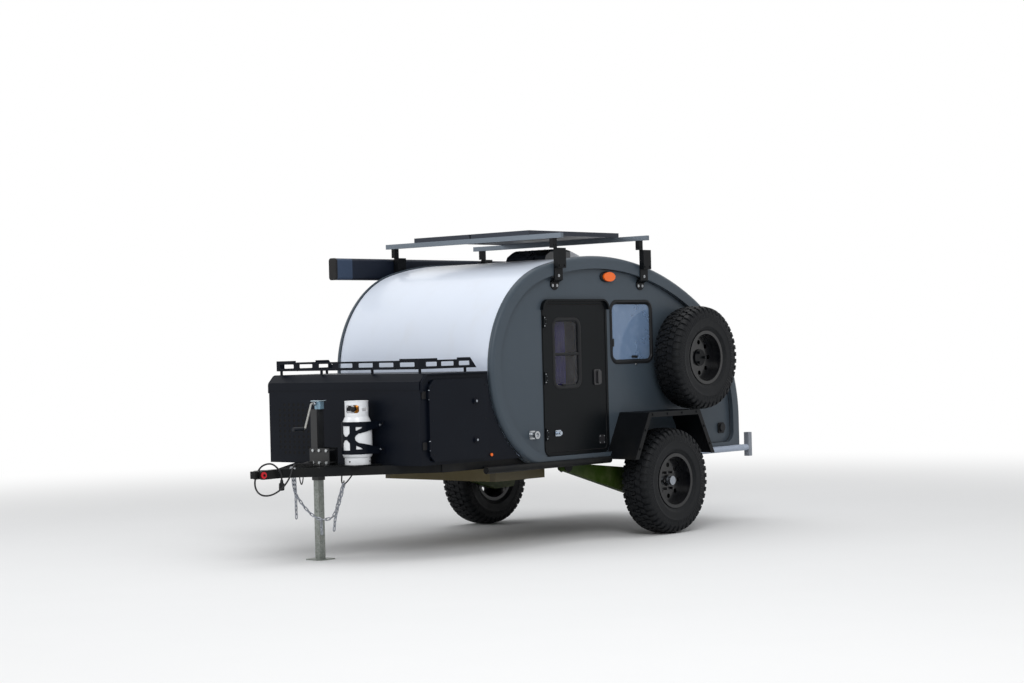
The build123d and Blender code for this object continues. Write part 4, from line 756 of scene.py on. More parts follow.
def spots_flow():
    """Puts a source mesh on each point, its Z axis along the point's own facing."""
    flow = Flow("parts_on_spots", Source="Object", Size="Float", Finish="Material")
    facing = flow.add("GeometryNodeInputNamedAttribute", {"data_type": "FLOAT_VECTOR"}, {"Name": "facing"})
    turn = flow.add("FunctionNodeAlignRotationToVector", {"axis": "Z"}, {"Vector": facing})
    flow.close(flow.lay(flow.given("Geometry"), flow.lent("Source"), Rotation=turn, Scale=flow.given("Size")))
    return flow


def chain_flow():
    """Strings links along a line, every second one turned by a quarter."""
    flow = Flow("links_on_line", Link="Object", Pitch="Float", Finish="Material")
    line = flow.add("GeometryNodeMeshToCurve", None, {0: flow.given("Geometry")})
    line = flow.add("GeometryNodeResampleCurve", {"mode": "LENGTH"}, {"Curve": line, "Length": flow.given("Pitch")})
    along = flow.add("GeometryNodeInputTangent")
    turn = flow.add("FunctionNodeAlignRotationToVector", {"axis": "X"}, {"Vector": along})
    odd = flow.add("ShaderNodeMath", {"operation": "MODULO"}, {0: flow.add("GeometryNodeInputIndex"), 1: 2.0})
    roll = flow.add("ShaderNodeMath", {"operation": "MULTIPLY"}, {0: odd, 1: math.pi / 2})
    roll = flow.add("ShaderNodeCombineXYZ", None, {"X": roll})
    turn = flow.add("FunctionNodeRotateRotation", {"rotation_space": "LOCAL"}, {"Rotation": turn, "Rotate By": roll})
    flow.close(flow.lay(line, flow.lent("Link"), Rotation=turn))
    return flow


def bead_flow():
    """Sweeps a round bead along the lines of a mesh."""
    flow = Flow("bead_on_line", Radius="Float", Finish="Material")
    line = flow.add("GeometryNodeMeshToCurve", None, {0: flow.given("Geometry")})
    section = flow.add("GeometryNodeCurvePrimitiveCircle", None, {"Resolution": 8, "Radius": flow.given("Radius")})
    tube = flow.add("GeometryNodeCurveToMesh", None, {"Curve": line, "Profile Curve": section, "Fill Caps": True})
    flow.close(flow.add("GeometryNodeSetShadeSmooth", None, {0: tube}))
    return flow


def grid_flow():
    """Lays a pierced cell on the open points of a sheet and a blank one on the rest."""
    flow = Flow("pierced_sheet", Pierced="Object", Blank="Object", Finish="Material")
    is_open = flow.add("GeometryNodeInputNamedAttribute", {"data_type": "BOOLEAN"}, {"Name": "open"})
    shut = flow.add("FunctionNodeBooleanMath", {"operation": "NOT"}, {0: is_open})
    both = flow.tree.nodes.new("GeometryNodeJoinGeometry")
    for title, choice in (("Pierced", is_open), ("Blank", shut)):
        laid = flow.lay(flow.given("Geometry"), flow.lent(title), Selection=choice)
        real = flow.add("GeometryNodeRealizeInstances", None, {0: laid})
        flow.tree.links.new(real, both.inputs[0])
    flow.close(flow.add("GeometryNodeMergeByDistance", None, {0: both.outputs[0], "Distance": 0.0002}))
    return flow


def new_piece(name, mesh, material, body=None):
    """Puts a mesh in the scene as a named piece that rides on a body."""
    mesh.name = name
    if material:
        mesh.materials.clear()
        mesh.materials.append(material)
    piece = bpy.data.objects.new(name, mesh)
    bpy.context.scene.collection.objects.link(piece)
    if body:
        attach(piece, body)
    return piece


def mesh_from(verts, faces, smooth=False, edges=()):
    """A mesh of points and faces, its doubles merged and its normals pointing outwards."""
    mesh = bpy.data.meshes.new("mesh")
    mesh.from_pydata([tuple(v) for v in verts], list(edges), faces)
    mesh.polygons.foreach_set("use_smooth", [smooth] * len(mesh.polygons))
    if faces:
        work = bmesh.new()
        work.from_mesh(mesh)
        bmesh.ops.remove_doubles(work, verts=work.verts, dist=MERGE)
        bmesh.ops.recalc_face_normals(work, faces=work.faces)
        work.to_mesh(mesh)
        work.free()
        mesh.update()
    return mesh


def drawn(work):
    """Ends work on a bmesh and returns it as a mesh."""
    mesh = bpy.data.meshes.new("mesh")
    work.to_mesh(mesh)
    work.free()
    return mesh


def joined(meshes):
    """One mesh made of several."""
    work = bmesh.new()
    for mesh in meshes:
        work.from_mesh(mesh)
    return drawn(work)


def moved(mesh, matrix):
    """A copy of a mesh turned and moved."""
    other = mesh.copy()
    other.transform(matrix)
    return other


def loft(rings, caps=True, smooth=False):
    """Skin over closed rings that have the same number of points, its two ends capped unless told not to."""
    size = len(rings[0])
    verts = [p for ring in rings for p in ring]
    faces = []
    for k in range(len(rings) - 1):
        for i in range(size):
            j = (i + 1) % size
            faces.append((k * size + i, k * size + j, (k + 1) * size + j, (k + 1) * size + i))
    if caps:
        faces.append(tuple(range(size)))
        faces.append(tuple((len(rings) - 1) * size + i for i in range(size)))
    return mesh_from(verts, faces, smooth)


def closed_loft(rings, smooth=True):
    """Skin over rings whose last one runs back into the first."""
    return loft(rings + rings[:1], caps=False, smooth=smooth)


def around(steps):
    """Angles of even steps round a circle."""
    return [math.tau * k / steps for k in range(steps)]


def turned(profile, centre, axis, steps=48, closed=False, smooth=True):
    """Shape turned round an axis, from offsets along it and radii; the ends of an open profile get flat faces."""
    spin = Vector(axis).normalized().to_track_quat("Z", "Y").to_matrix()
    rings = []
    for along, radius in profile:
        rings.append([Vector(centre) + spin @ Vector((radius * math.cos(a), radius * math.sin(a), along))
                      for a in around(steps)])
    return closed_loft(rings, smooth) if closed else loft(rings, smooth=smooth)


def rounded_loop(cy, cz, w, h, r, steps=8):
    """Outline of a rounded rectangle as pairs of places along and up."""
    r = max(r, 0.0005)
    loop = []
    for k, (sy, sz) in enumerate(((1, 1), (-1, 1), (-1, -1), (1, -1))):
        for i in range(steps + 1):
            a = math.radians(90 * k + 90 * i / steps)
            loop.append((cy + sy * (w / 2 - r) + r * math.cos(a), cz + sz * (h / 2 - r) + r * math.sin(a)))
    return loop


def on_side(side, loop, out):
    """A loop of places along and up, laid at a distance out on one side of the trailer."""
    return [Vector((side * out, y, z)) for y, z in loop]


def rim(side, place, radius, section):
    """Frame round a rounded opening, from pairs of inset and distance out."""
    cy, cz, w, h = place
    return closed_loft([on_side(side, rounded_loop(cy, cz, w - 2 * inset, h - 2 * inset, radius - inset), out)
                        for inset, out in section])


def plate(side, place, radius, low, high, edge=0.0015):
    """Rounded plate on one side of the trailer between two distances out, its outer edge eased."""
    cy, cz, w, h = place
    rings = []
    for less, out in ((0.0, low), (0.0, high - edge), (0.3 * edge, high - 0.3 * edge), (edge, high)):
        rings.append(on_side(side, rounded_loop(cy, cz, w - 2 * less, h - 2 * less, radius - less), out))
    return loft(rings)


def box_mesh(low, high, edge=0.0):
    """Box between two corners with its edges eased."""
    work = bmesh.new()
    bmesh.ops.create_cube(work, size=1.0)
    span = [b - a for a, b in zip(low, high)]
    middle = [(a + b) / 2 for a, b in zip(low, high)]
    bmesh.ops.transform(work, matrix=Matrix.Translation(middle) @ Matrix.Diagonal((*span, 1)), verts=work.verts)
    if edge:
        bmesh.ops.bevel(work, geom=work.edges[:], offset=edge, segments=2, profile=0.5, affect="EDGES")
    return drawn(work)


def tube_along(points, radius):
    """Round tube along points, its ends closed."""
    rings = []
    normal = None
    for k, point in enumerate(points):
        ahead = (Vector(points[min(k + 1, len(points) - 1)]) - Vector(points[max(k - 1, 0)])).normalized()
        if normal is None:
            normal = ahead.orthogonal().normalized()
        normal = (normal - ahead * normal.dot(ahead)).normalized()
        across = ahead.cross(normal)
        rings.append([Vector(point) + radius * (math.cos(a) * normal + math.sin(a) * across)
                      for a in around(10)])
    return loft(rings, smooth=True)


def cabin_point(angle, inset=0.0):
    """Place along, height and outward direction on the cabin outline at an angle from the rear."""
    lean = math.asin((TAIL_Y - TAIL_R - ROOF_Y) / (ROOF_R - TAIL_R))
    tail = (ROOF_Y + (ROOF_R - TAIL_R) * math.sin(lean), ROOF_Z + (ROOF_R - TAIL_R) * math.cos(lean))
    if angle > NOSE_END:
        centre, radius = (NOSE_Y, NOSE_Z), NOSE_R
    elif angle > math.pi / 2 - lean:
        centre, radius = (ROOF_Y, ROOF_Z), ROOF_R
    else:
        centre, radius = tail, TAIL_R
    out = (math.cos(angle), math.sin(angle))
    return centre[0] + (radius - inset) * out[0], centre[1] + (radius - inset) * out[1], out


def cabin_arc(start, end, steps, inset=0.0):
    """Places along and up on the cabin outline between two angles in degrees."""
    return [cabin_point(math.radians(start + (end - start) * k / steps), inset)[:2] for k in range(steps + 1)]


def hex_head(radius, height, dome):
    """Domed bolt head along +Z with a washer under it."""
    washer = turned([(0, radius * 1.45), (height * 0.22, radius * 1.45), (height * 0.24, radius * 1.30)],
                    (0, 0, 0), (0, 0, 1), 18, smooth=False)
    rings = []
    for z, r in ((height * 0.2, radius), (height * 0.88, radius), (height, radius * 0.86)):
        rings.append([Vector((r * math.cos(a), r * math.sin(a), z)) for a in around(6)])
    top = turned([(height, radius * 0.5), (height + dome * 0.7, radius * 0.42), (height + dome, radius * 0.2)],
                 (0, 0, 0), (0, 0, 1), 12)
    return joined([washer, loft(rings), top])


def screw_head(radius, height):
    """Domed screw head along +Z with a cross recess."""
    dome = turned([(0, radius), (height * 0.35, radius * 0.97), (height * 0.75, radius * 0.75),
                   (height, radius * 0.36)], (0, 0, 0), (0, 0, 1), 16)
    slot = box_mesh((-radius * 0.5, -radius * 0.09, height * 0.9), (radius * 0.5, radius * 0.09, height * 1.04))
    return joined([dome, slot, moved(slot, Matrix.Rotation(math.pi / 2, 4, "Z"))])


FLOWS = {}  # Geometry trees that several pieces share, made when first asked for


def grown(build, name, carrier, material, body=None, **values):
    """Runs a geometry tree on a carrier mesh; meshes among the values are lent to it as objects."""
    flow = FLOWS.get(build) or FLOWS.setdefault(build, build())
    lent = []
    for title, value in values.items():
        if isinstance(value, bpy.types.Mesh):
            lent.append(bpy.data.objects.new(f"lent_{title}", value))
            bpy.context.scene.collection.objects.link(lent[-1])
            values[title] = lent[-1]
    piece = new_piece(name, carrier, None)
    flow.run(piece, Finish=material, **values)
    for thing in lent:
        bpy.data.objects.remove(thing)
    piece.data.name = name
    if body:
        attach(piece, body)
    return piece


def spots_mesh(spots):
    """Carrier mesh of points that each hold the way they face."""
    mesh = mesh_from([place for place, _ in spots], [])
    facing = mesh.attributes.new("facing", "FLOAT_VECTOR", "POINT")
    for k, (_, way) in enumerate(spots):
        facing.data[k].vector = way
    return mesh


def heads(name, spots, source, material, body, size=1.0):
    """Bolt or screw heads on spots, each a place and the way it faces."""
    return grown(spots_flow, name, spots_mesh(spots), material, body, Source=source, Size=size)


def beads(name, lines, radius, material, body):
    """Round beads along open or closed lines of points."""
    verts, edges = [], []
    for line, is_closed in lines:
        start = len(verts)
        verts += line
        edges += [(start + k, start + k + 1) for k in range(len(line) - 1)]
        if is_closed:
            edges.append((start + len(line) - 1, start))
    return grown(bead_flow, name, mesh_from(verts, [], edges=edges), material, body, Radius=radius)


def on_tread(a, r, s):
    """Point of a tyre about its own middle: offset outwards, radius and distance round the tread."""
    angle = s / TYRE_R
    return Vector((a, r * math.cos(angle), r * math.sin(angle)))


def tread_block(top, low, spans, taper=0.0016):
    """Tread block over stations across the tyre, each with its height, its foot and its span round it."""
    rings = []
    for (a, high), (b, foot), (start, end) in zip(top, low, spans):
        rings.append([on_tread(a, high, start + taper), on_tread(a, high, end - taper),
                      on_tread(b, foot, end), on_tread(b, foot, start)])
    return loft(rings)


def tread_unit(radius, depth, pitch):
    """Two pitches of tread: shoulder lugs, inner blocks with sipes and sidewall ridges."""
    floor = TYRE_R - depth
    blocks = []
    for side in (1, -1):
        for k in range(2):
            s = (k + (0.5 if side < 0 else 0.0)) * pitch
            foot = 0.338 if k else 0.350
            length = 0.63 * pitch
            path = [(0.074, 0.3945), (0.092, 0.3905), (0.1055, 0.3855), (0.1135, 0.3775), (0.1180, 0.3660),
                    (0.1218, 0.3510), (0.1228, foot)]
            under = [(0.074, floor + 0.001), (0.092, floor - 0.002), (0.1000, 0.3760), (0.1075, 0.3690),
                     (0.1130, 0.3600), (0.1175, 0.3480), (0.1190, foot)]
            skew = [0.0, 0.001, 0.002, 0.002, 0.002, 0.0015, 0.0015]
            narrow = [0.002, 0.0, 0.0, 0.0, 0.0005, 0.0015, 0.003]
            spans = [(s + d + n, s + d + length - n) for d, n in zip(skew, narrow)]
            blocks.append(tread_block([(side * a, r) for a, r in path], [(side * a, r) for a, r in under], spans))
            notch = s + length * 0.5
            blocks.append(tread_block([(side * 0.1215, 0.3640), (side * 0.1236, 0.3545), (side * 0.1238, 0.3460)],
                                      [(side * 0.115, 0.3640), (side * 0.118, 0.3545), (side * 0.119, 0.3460)],
                                      [(notch - 0.005, notch + 0.005)] * 3))
            inner = s + 0.42 * pitch
            for first, last, lag in ((0.0275, 0.0475, 0.0), (0.0490, 0.0690, 0.0045)):
                rows = [(first, 0.3985), ((first + last) / 2, 0.3975), (last, 0.3955)]
                lean = [inner + lag, inner + lag + 0.003, inner + lag + 0.006]
                blocks.append(tread_block([(side * a, r) for a, r in rows],
                                          [(side * (a + (0.001 if a > first else -0.001)), floor + 0.001)
                                           for a, r in rows],
                                          [(at, at + 0.70 * pitch) for at in lean]))
    for k in range(4):
        s = (k + 0.2) * pitch / 2
        zig = 0.0035 if k % 2 else -0.0035
        for first, last in ((-0.0215, -0.0010), (0.0010, 0.0215)):
            rows = [(first, 0.3995), ((first + last) / 2, 0.4), (last, 0.3995)]
            lean = [s + (0.003 if first > 0 else -0.003), s, s + (0.003 if first < 0 else -0.003)]
            blocks.append(tread_block([(a + zig, r) for a, r in rows], [(a + zig, floor + 0.002) for a, r in rows],
                                      [(at, at + 0.42 * pitch) for at in lean]))
    unit = joined(blocks)
    if radius != TYRE_R:
        unit.transform(Matrix.Scale(radius / TYRE_R, 4))
    return unit


def ridge_unit():
    """Short radial ridge on both sidewalls."""
    ridges = []
    for side in (1, -1):
        ridges.append(tread_block([(side * 0.1226, 0.3340), (side * 0.1234, 0.3180), (side * 0.1232, 0.3030)],
                                  [(side * 0.1205, 0.3340), (side * 0.1212, 0.3180), (side * 0.1212, 0.3030)],
                                  [(-0.0045, 0.0045)] * 3, 0.0022))
    return joined(ridges)


# Half sections of a tyre, as offsets from its middle and radii
CARCASS = ((0.0900, 0.1903), (0.0975, 0.1950), (0.0985, 0.2090), (0.1040, 0.2160), (0.1105, 0.2290),
           (0.1125, 0.2320), (0.1170, 0.2345), (0.1185, 0.2400), (0.1190, 0.2480), (0.1195, 0.2620),
           (0.1204, 0.2800), (0.1212, 0.2930), (0.1222, 0.2950), (0.1226, 0.2975), (0.1222, 0.3000),
           (0.1212, 0.3020), (0.1212, 0.3300), (0.1190, 0.3480), (0.1130, 0.3610), (0.1040, 0.3720),
           (0.0900, 0.3800), (0.0600, 0.3850), (0.0, 0.3870))
LINER = ((0.0, 0.3740), (0.0900, 0.3680), (0.1050, 0.3480), (0.1110, 0.3150), (0.1080, 0.2700),
         (0.0980, 0.2250), (0.0860, 0.2000), (0.0840, 0.1903))


def carcass_mesh():
    """Tyre without its tread: sidewalls, beads and inner liner as one closed turned section."""
    outer = list(CARCASS) + [(-a, r) for a, r in reversed(CARCASS[:-1])]
    inner = [(-a, r) for a, r in reversed(LINER)] + list(LINER[1:])
    return turned(outer + inner, (0, 0, 0), (1, 0, 0), 132, closed=True)


def wheel_places():
    """Middle of each tyre's own node and the side that it faces."""
    places = {}
    for name, side in (("tyre_left", 1), ("tyre_right", -1), ("spare_tyre", 1)):
        low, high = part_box(name)
        places[name] = (Vector([(a + b) / 2 for a, b in zip(low, high)]), side)
    return places


class TRAILER_OT_tyres(bpy.types.Operator):
    """Replaces the plain tyres by ones with tread blocks, shoulder lugs and ribbed sidewalls"""
    bl_idname = "trailer.tyres"
    bl_label = "Tyres"

    def execute(self, context):
        setup = context.scene.trailer_tyres
        material = tyre_rubber(context.scene.trailer_paint.dust)
        count = setup.pitches // 2
        unit = tread_unit(setup.radius, setup.depth, math.tau * TYRE_R / (2 * count))
        carcass = carcass_mesh()
        empty = mesh_from([(0, 0, 0)], [])
        rings = [grown(ring_flow, "tread", empty, material, Source=unit, Count=count),
                 grown(ring_flow, "ridges", empty.copy(), material, Source=ridge_unit(), Count=96)]
        whole = joined([carcass] + [ring.data for ring in rings])
        for ring in rings:
            bpy.data.objects.remove(ring)
        for name, (middle, side) in wheel_places().items():
            turn = Matrix.Rotation(0 if side > 0 else math.pi, 4, "Z")
            tyre = new_piece(name + "_tread", moved(whole, Matrix.Translation(middle) @ turn), material)
            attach(tyre, name.replace("tyre", "wheel") if name != "spare_tyre" else "trailer")
            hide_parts(name)
        return {"FINISHED"}


class TRAILER_OT_windows(bpy.types.Operator):
    """Puts eased acrylic panes in moulded frames on doors and walls, with their bars, clips and seals"""
    bl_idname = "trailer.windows"
    bl_label = "Windows"

    def execute(self, context):
        frame_look = moulded("window_frame", (0.012, 0.013, 0.015), 0.28, 900.0)
        seal_look = rubber("window_seal", (0.009, 0.009, 0.010))
        door_look = window_glass("door_pane", (0.006, 0.007, 0.013), 0.40)
        # the light blue tint of the side panes is painted reflection of the sky
        pane_look = window_glass("side_pane", (0.19, 0.29, 0.46), 0.55)
        clip_look = polished("window_clip", (0.62, 0.63, 0.64), 0.25)
        for word, side in SIDES:
            self.door_window(word, side, frame_look, door_look, seal_look)
            self.wall_window(word, side, frame_look, pane_look, seal_look, clip_look)
        return {"FINISHED"}

    def door_window(self, word, side, frame_look, pane_look, seal_look):
        """Frame, bar, pane and seal of a door window, in place of its node."""
        body = "entry_door_" + word
        cy, cz, w, h = DOOR_WINDOW
        face = WALL_OUT + 0.006
        section = [(0.0, WALL_IN), (0.0, face - 0.003), (0.0006, face - 0.0015), (0.002, face - 0.0004),
                   (0.004, face), (0.016, face - 0.0004), (0.021, face - 0.0018), (0.0245, face - 0.005),
                   (0.026, face - 0.010), (0.026, WALL_IN)]
        frame_mesh = rim(side, DOOR_WINDOW, WINDOW_R, section)
        bar = self.bar(side, cy, 1.381, w - 0.030, 0.022)
        handle = plate(side, (cy - 0.045, cz - h / 2 + 0.030, 0.040, 0.012), 0.005, face - 0.006, face + 0.003)
        frames = new_piece("door_window_frame_" + word, joined([frame_mesh, bar, handle]), frame_look, body)
        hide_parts("door_window_" + word)
        pane = plate(side, (cy, cz, w - 0.048, h - 0.048), WINDOW_R - 0.024, WALL_OUT - 0.014,
                     WALL_OUT - 0.008, 0.001)
        new_piece("door_pane_" + word, pane, pane_look, body)
        ring = on_side(side, rounded_loop(cy, cz, w + 0.004, h + 0.004, WINDOW_R + 0.002, 12), WALL_OUT + 0.0022)
        beads("door_window_seal_" + word, [(ring, True)], 0.0026, seal_look, body)

    def bar(self, side, cy, z, width, height):
        """Rounded bar across a window."""
        ring = [(0.5 * height * math.sin(a), 0.0045 * math.cos(a)) for a in around(12)]
        rows = []
        for y in (cy - width / 2, cy - width / 2 + 0.01, cy + width / 2 - 0.01, cy + width / 2):
            rows.append([Vector((side * (WALL_OUT - 0.0035 + out), y, z + up)) for up, out in ring])
        return loft(rows, smooth=True)

    def wall_window(self, word, side, frame_look, pane_look, seal_look, clip_look):
        """Frame, catches, pane, clip and seal of a side window, in place of its node."""
        cy, cz, w, h = SIDE_WINDOW
        face = WALL_OUT + 0.008
        section = [(0.0, WALL_IN), (0.0, WALL_OUT), (-0.004, WALL_OUT + 0.0004), (-0.0045, WALL_OUT + 0.003),
                   (-0.003, face - 0.002), (0.0, face), (0.010, face), (0.013, face - 0.0015),
                   (0.0145, WALL_OUT + 0.002), (0.020, WALL_OUT - 0.002), (0.026, WALL_OUT - 0.003),
                   (0.026, WALL_IN)]
        frame_mesh = rim(side, SIDE_WINDOW, WINDOW_R, section)
        catch = plate(side, (cy - w / 2 + 0.020, cz - h * 0.17, 0.018, 0.060), 0.008, face - 0.010, face + 0.002)
        latch = plate(side, (cy + 0.035, cz - h / 2 + 0.045, 0.070, 0.018), 0.009, WALL_OUT - 0.010, WALL_OUT + 0.002)
        window = new_piece("side_window_frame_" + word, joined([frame_mesh, catch, latch]), frame_look, "trailer")
        if side > 0:
            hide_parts("side_windows")
        pane = plate(side, (cy, cz, w - 0.030, h - 0.030), WINDOW_R - 0.015, WALL_OUT - 0.012, WALL_OUT - 0.005,
                     0.001)
        new_piece("side_pane_" + word, pane, pane_look, "trailer")
        clip = plate(side, (cy + 0.045, cz - h / 2 - 0.012, 0.016, 0.012), 0.003, WALL_OUT, WALL_OUT + 0.005)
        new_piece("window_clip_" + word, clip, clip_look, "trailer")
        ring = on_side(side, rounded_loop(cy, cz, w + 0.012, h + 0.012, WINDOW_R + 0.006, 12), WALL_OUT + 0.002)
        beads("side_window_seal_" + word, [(ring, True)], 0.0022, seal_look, "trailer")


class TRAILER_OT_curtains(bpy.types.Operator):
    """Hangs a gathered curtain behind each door window, and behind each side window a pale pleated sheet that paints
    the sky's reflection in the pane
    """
    bl_idname = "trailer.curtains"
    bl_label = "Curtains and shades"

    def execute(self, context):
        setup = context.scene.trailer_cloth
        curtain_look = cloth("curtain_cloth", setup.curtain, 700.0, 0.10, 0.45)
        sky_reflection_look = cloth("shade_cloth", setup.shade, 900.0, 0.15, 0.10)
        rod_look = moulded("curtain_rod", (0.35, 0.35, 0.35), 0.4)
        for word, side in SIDES:
            body = "entry_door_" + word
            cy, cz, w, h = DOOR_WINDOW
            front = cy - w / 2 - 0.024
            span = (front, front + 0.60 * w + 0.024)
            height = (cz - h / 2 - 0.024, cz + h / 2 + 0.020)
            curtain = self.pleated("gathered_curtain_" + word, side, span, height, WALL_IN - 0.0044,
                                   0.0032, setup.pleats, curtain_look, body)
            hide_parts("door_curtain_" + word)
            rod = tube_along([(side * (WALL_IN - 0.0046), front - 0.004, height[1]),
                              (side * (WALL_IN - 0.0046), cy + w / 2 + 0.026, height[1])], 0.0026)
            new_piece("curtain_rod_" + word, rod, rod_look, body)
            cy, cz, w, h = SIDE_WINDOW
            # painted reflection: the pale sheet over the front 74 % of each side window stands for the sky reflected
            # in the pane
            span = (cy - w / 2 - 0.010, cy - w / 2 + 0.74 * w)
            height = (cz - h / 2 - 0.010, cz + h / 2 + 0.010)
            self.pleated("window_shade_" + word, side, span, height, WALL_IN - 0.0065, 0.0022,
                         setup.pleats - 2, sky_reflection_look, "trailer")
            rod = tube_along([(side * (WALL_IN - 0.0066), cy - w / 2 - 0.016, height[1]),
                              (side * (WALL_IN - 0.0066), cy + w / 2 + 0.016, height[1])], 0.0026)
            new_piece("shade_rod_" + word, rod, rod_look, "trailer")
        return {"FINISHED"}

    def pleated(self, name, side, span, height, out, depth, pleats, material, body):
        """Thin pleated cloth hung from its top edge, its folds fuller and softer towards its foot."""
        across, down = 12 * pleats, 30
        verts, faces, places = [], [], []
        length = 0.0
        for i in range(down + 1):
            v = i / down
            row = []
            for k in range(across + 1):
                u = k / across
                phase = math.tau * pleats * u + 0.9 * math.sin(2.2 * v + 5.0 * u)
                swell = depth * (0.75 + 0.25 * v) * (0.85 + 0.15 * math.sin(9.0 * u + 1.3))
                y = span[0] + (span[1] - span[0]) * (u + 0.004 * math.sin(phase * 2 + 3.0 * v))
                row.append((side * (out + swell * math.sin(phase)), y, height[1] + (height[0] - height[1]) * v))
            verts += row
            if i == down // 2:
                length = sum((Vector(a) - Vector(b)).length for a, b in zip(row, row[1:]))
        for i in range(down):
            for k in range(across):
                a = i * (across + 1) + k
                faces.append((a, a + 1, a + across + 2, a + across + 1))
                places += [(k, i), (k + 1, i), (k + 1, i + 1), (k, i + 1)]
        mesh = bpy.data.meshes.new(name)
        mesh.from_pydata(verts, [], faces)
        layer = mesh.uv_layers.new(name="weave")
        tall = height[1] - height[0]
        for corner, (k, i) in zip(layer.data, places):
            corner.uv = (k / across * length, i / down * tall)
        mesh.polygons.foreach_set("use_smooth", [True] * len(mesh.polygons))
        piece = new_piece(name, mesh, material)
        thick = piece.modifiers.new("thickness", "SOLIDIFY")
        thick.thickness = 0.0006
        thick.offset = 0.0
        piece = settled(piece)
        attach(piece, body)
        return piece


def settled(piece):
    """Turns a piece's modifiers into its plain mesh."""
    bpy.context.view_layer.update()
    graph = bpy.context.evaluated_depsgraph_get()
    mesh = bpy.data.meshes.new_from_object(piece.evaluated_get(graph), preserve_all_data_layers=True,
                                           depsgraph=graph)
    piece.modifiers.clear()
    piece.data = mesh
    mesh.name = piece.name
    return piece


class TRAILER_OT_mattress(bpy.types.Operator):
    """Swells a foam mattress in the cabin and sews its tufts and piping"""
    bl_idname = "trailer.mattress"
    bl_label = "Mattress"

    def execute(self, context):
        setup = context.scene.trailer_cloth
        look = ticking_cloth(setup.ticking)
        low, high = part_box("mattress")
        inset = 0.012
        core = box_mesh([c + inset for c in low], [c - inset for c in high], 0.030)
        pad = new_piece("soft_mattress", core, look)
        cell = pad.modifiers.new("cells", "REMESH")
        cell.mode = "VOXEL"
        cell.voxel_size = 0.022
        pad = settled(pad)
        rest = [v.co.copy() for v in pad.data.vertices]
        puff = pad.modifiers.new("puff", "CLOTH")
        puff.settings.quality = 4
        puff.settings.mass = 0.3
        puff.settings.tension_stiffness = 18
        puff.settings.use_pressure = True
        puff.settings.uniform_pressure_force = 4.0
        puff.settings.effector_weights.gravity = 0.0
        puff.point_cache.frame_start, puff.point_cache.frame_end = 1, 20
        for step in range(1, 21):
            bpy.context.scene.frame_set(step)
        pad = settled(pad)
        bpy.context.scene.frame_set(1)
        self.shape(pad.data, rest, low, high)
        smooth = pad.modifiers.new("finer", "SUBSURF")
        smooth.levels = smooth.render_levels = 1
        pad = settled(pad)
        pad.data.polygons.foreach_set("use_smooth", [True] * len(pad.data.polygons))
        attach(pad, "trailer")
        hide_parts("mattress")
        seam_look = cloth("piping_cloth", darker(setup.ticking, 0.45), 500.0, 0.1, 0.2)
        rows = []
        for z in (low.z + 0.016, high.z - 0.010):
            cy, w, h = (low.y + high.y) / 2, high.x - low.x - 0.010, high.y - low.y - 0.010
            rows.append(([Vector((x, y, z)) for x, y in rounded_loop(0, cy, w, h, 0.036, 10)], True))
        beads("mattress_piping", rows, 0.004, seam_look, "trailer")
        return {"FINISHED"}

    def shape(self, mesh, rest, low, high):
        """Caps how far a point may move, keeps the pad in its space and pulls the tufts in."""
        for vertex, before in zip(mesh.vertices, rest):
            step = vertex.co - before
            if step.length > 0.012:
                vertex.co = before + step * (0.012 / step.length)
            top = vertex.co.z > high.z - 0.040
            if top:
                u = ((vertex.co.x - low.x) / 0.2026) % 1.0 - 0.5
                v = ((vertex.co.y - low.y) / 0.1950) % 1.0 - 0.5
                vertex.co.z -= 0.014 * math.exp(-(u * u + v * v) * 34)
            vertex.co = [min(max(c, a + 0.001), b - 0.001) for c, a, b in zip(vertex.co, low, high)]


def ticking_cloth(tint):
    """Mattress ticking: a fine weave that reads the piece's own coordinates, with a soft quilted tone."""
    f = Finish("ticking_cloth", Sheen_Weight=0.3, Specular_IOR_Level=0.2)
    thread = (f.x * 2400.0).sine() * (f.y * 2400.0).sine()
    tone = f.noise(6.0, 4.0)
    f.feed(Base_Color=f.mix(tone, darker(tint, 0.15), lighter(tint, 0.12)), Roughness=0.82 + tone * 0.1)
    f.bump(thread + f.noise(260.0, 2.0) * 0.6, 0.3, 0.0006)
    return f.material


# Control points of the cable, from its gland to its plug
CABLE_ROUTE = ((0.045, -1.830, 0.676), (0.045, -1.885, 0.678), (0.050, -1.932, 0.677), (0.070, -1.978, 0.674),
               (0.094, -2.015, 0.646), (0.099, -2.046, 0.590), (0.097, -2.106, 0.528), (0.078, -2.175, 0.486),
               (0.026, -2.215, 0.476), (-0.030, -2.226, 0.500), (-0.070, -2.216, 0.554), (-0.079, -2.190, 0.616),
               (-0.058, -2.168, 0.672), (-0.014, -2.146, 0.693), (0.028, -2.128, 0.690), (0.060, -2.106, 0.652),
               (0.060, -2.082, 0.612), (0.054, -2.078, 0.578))


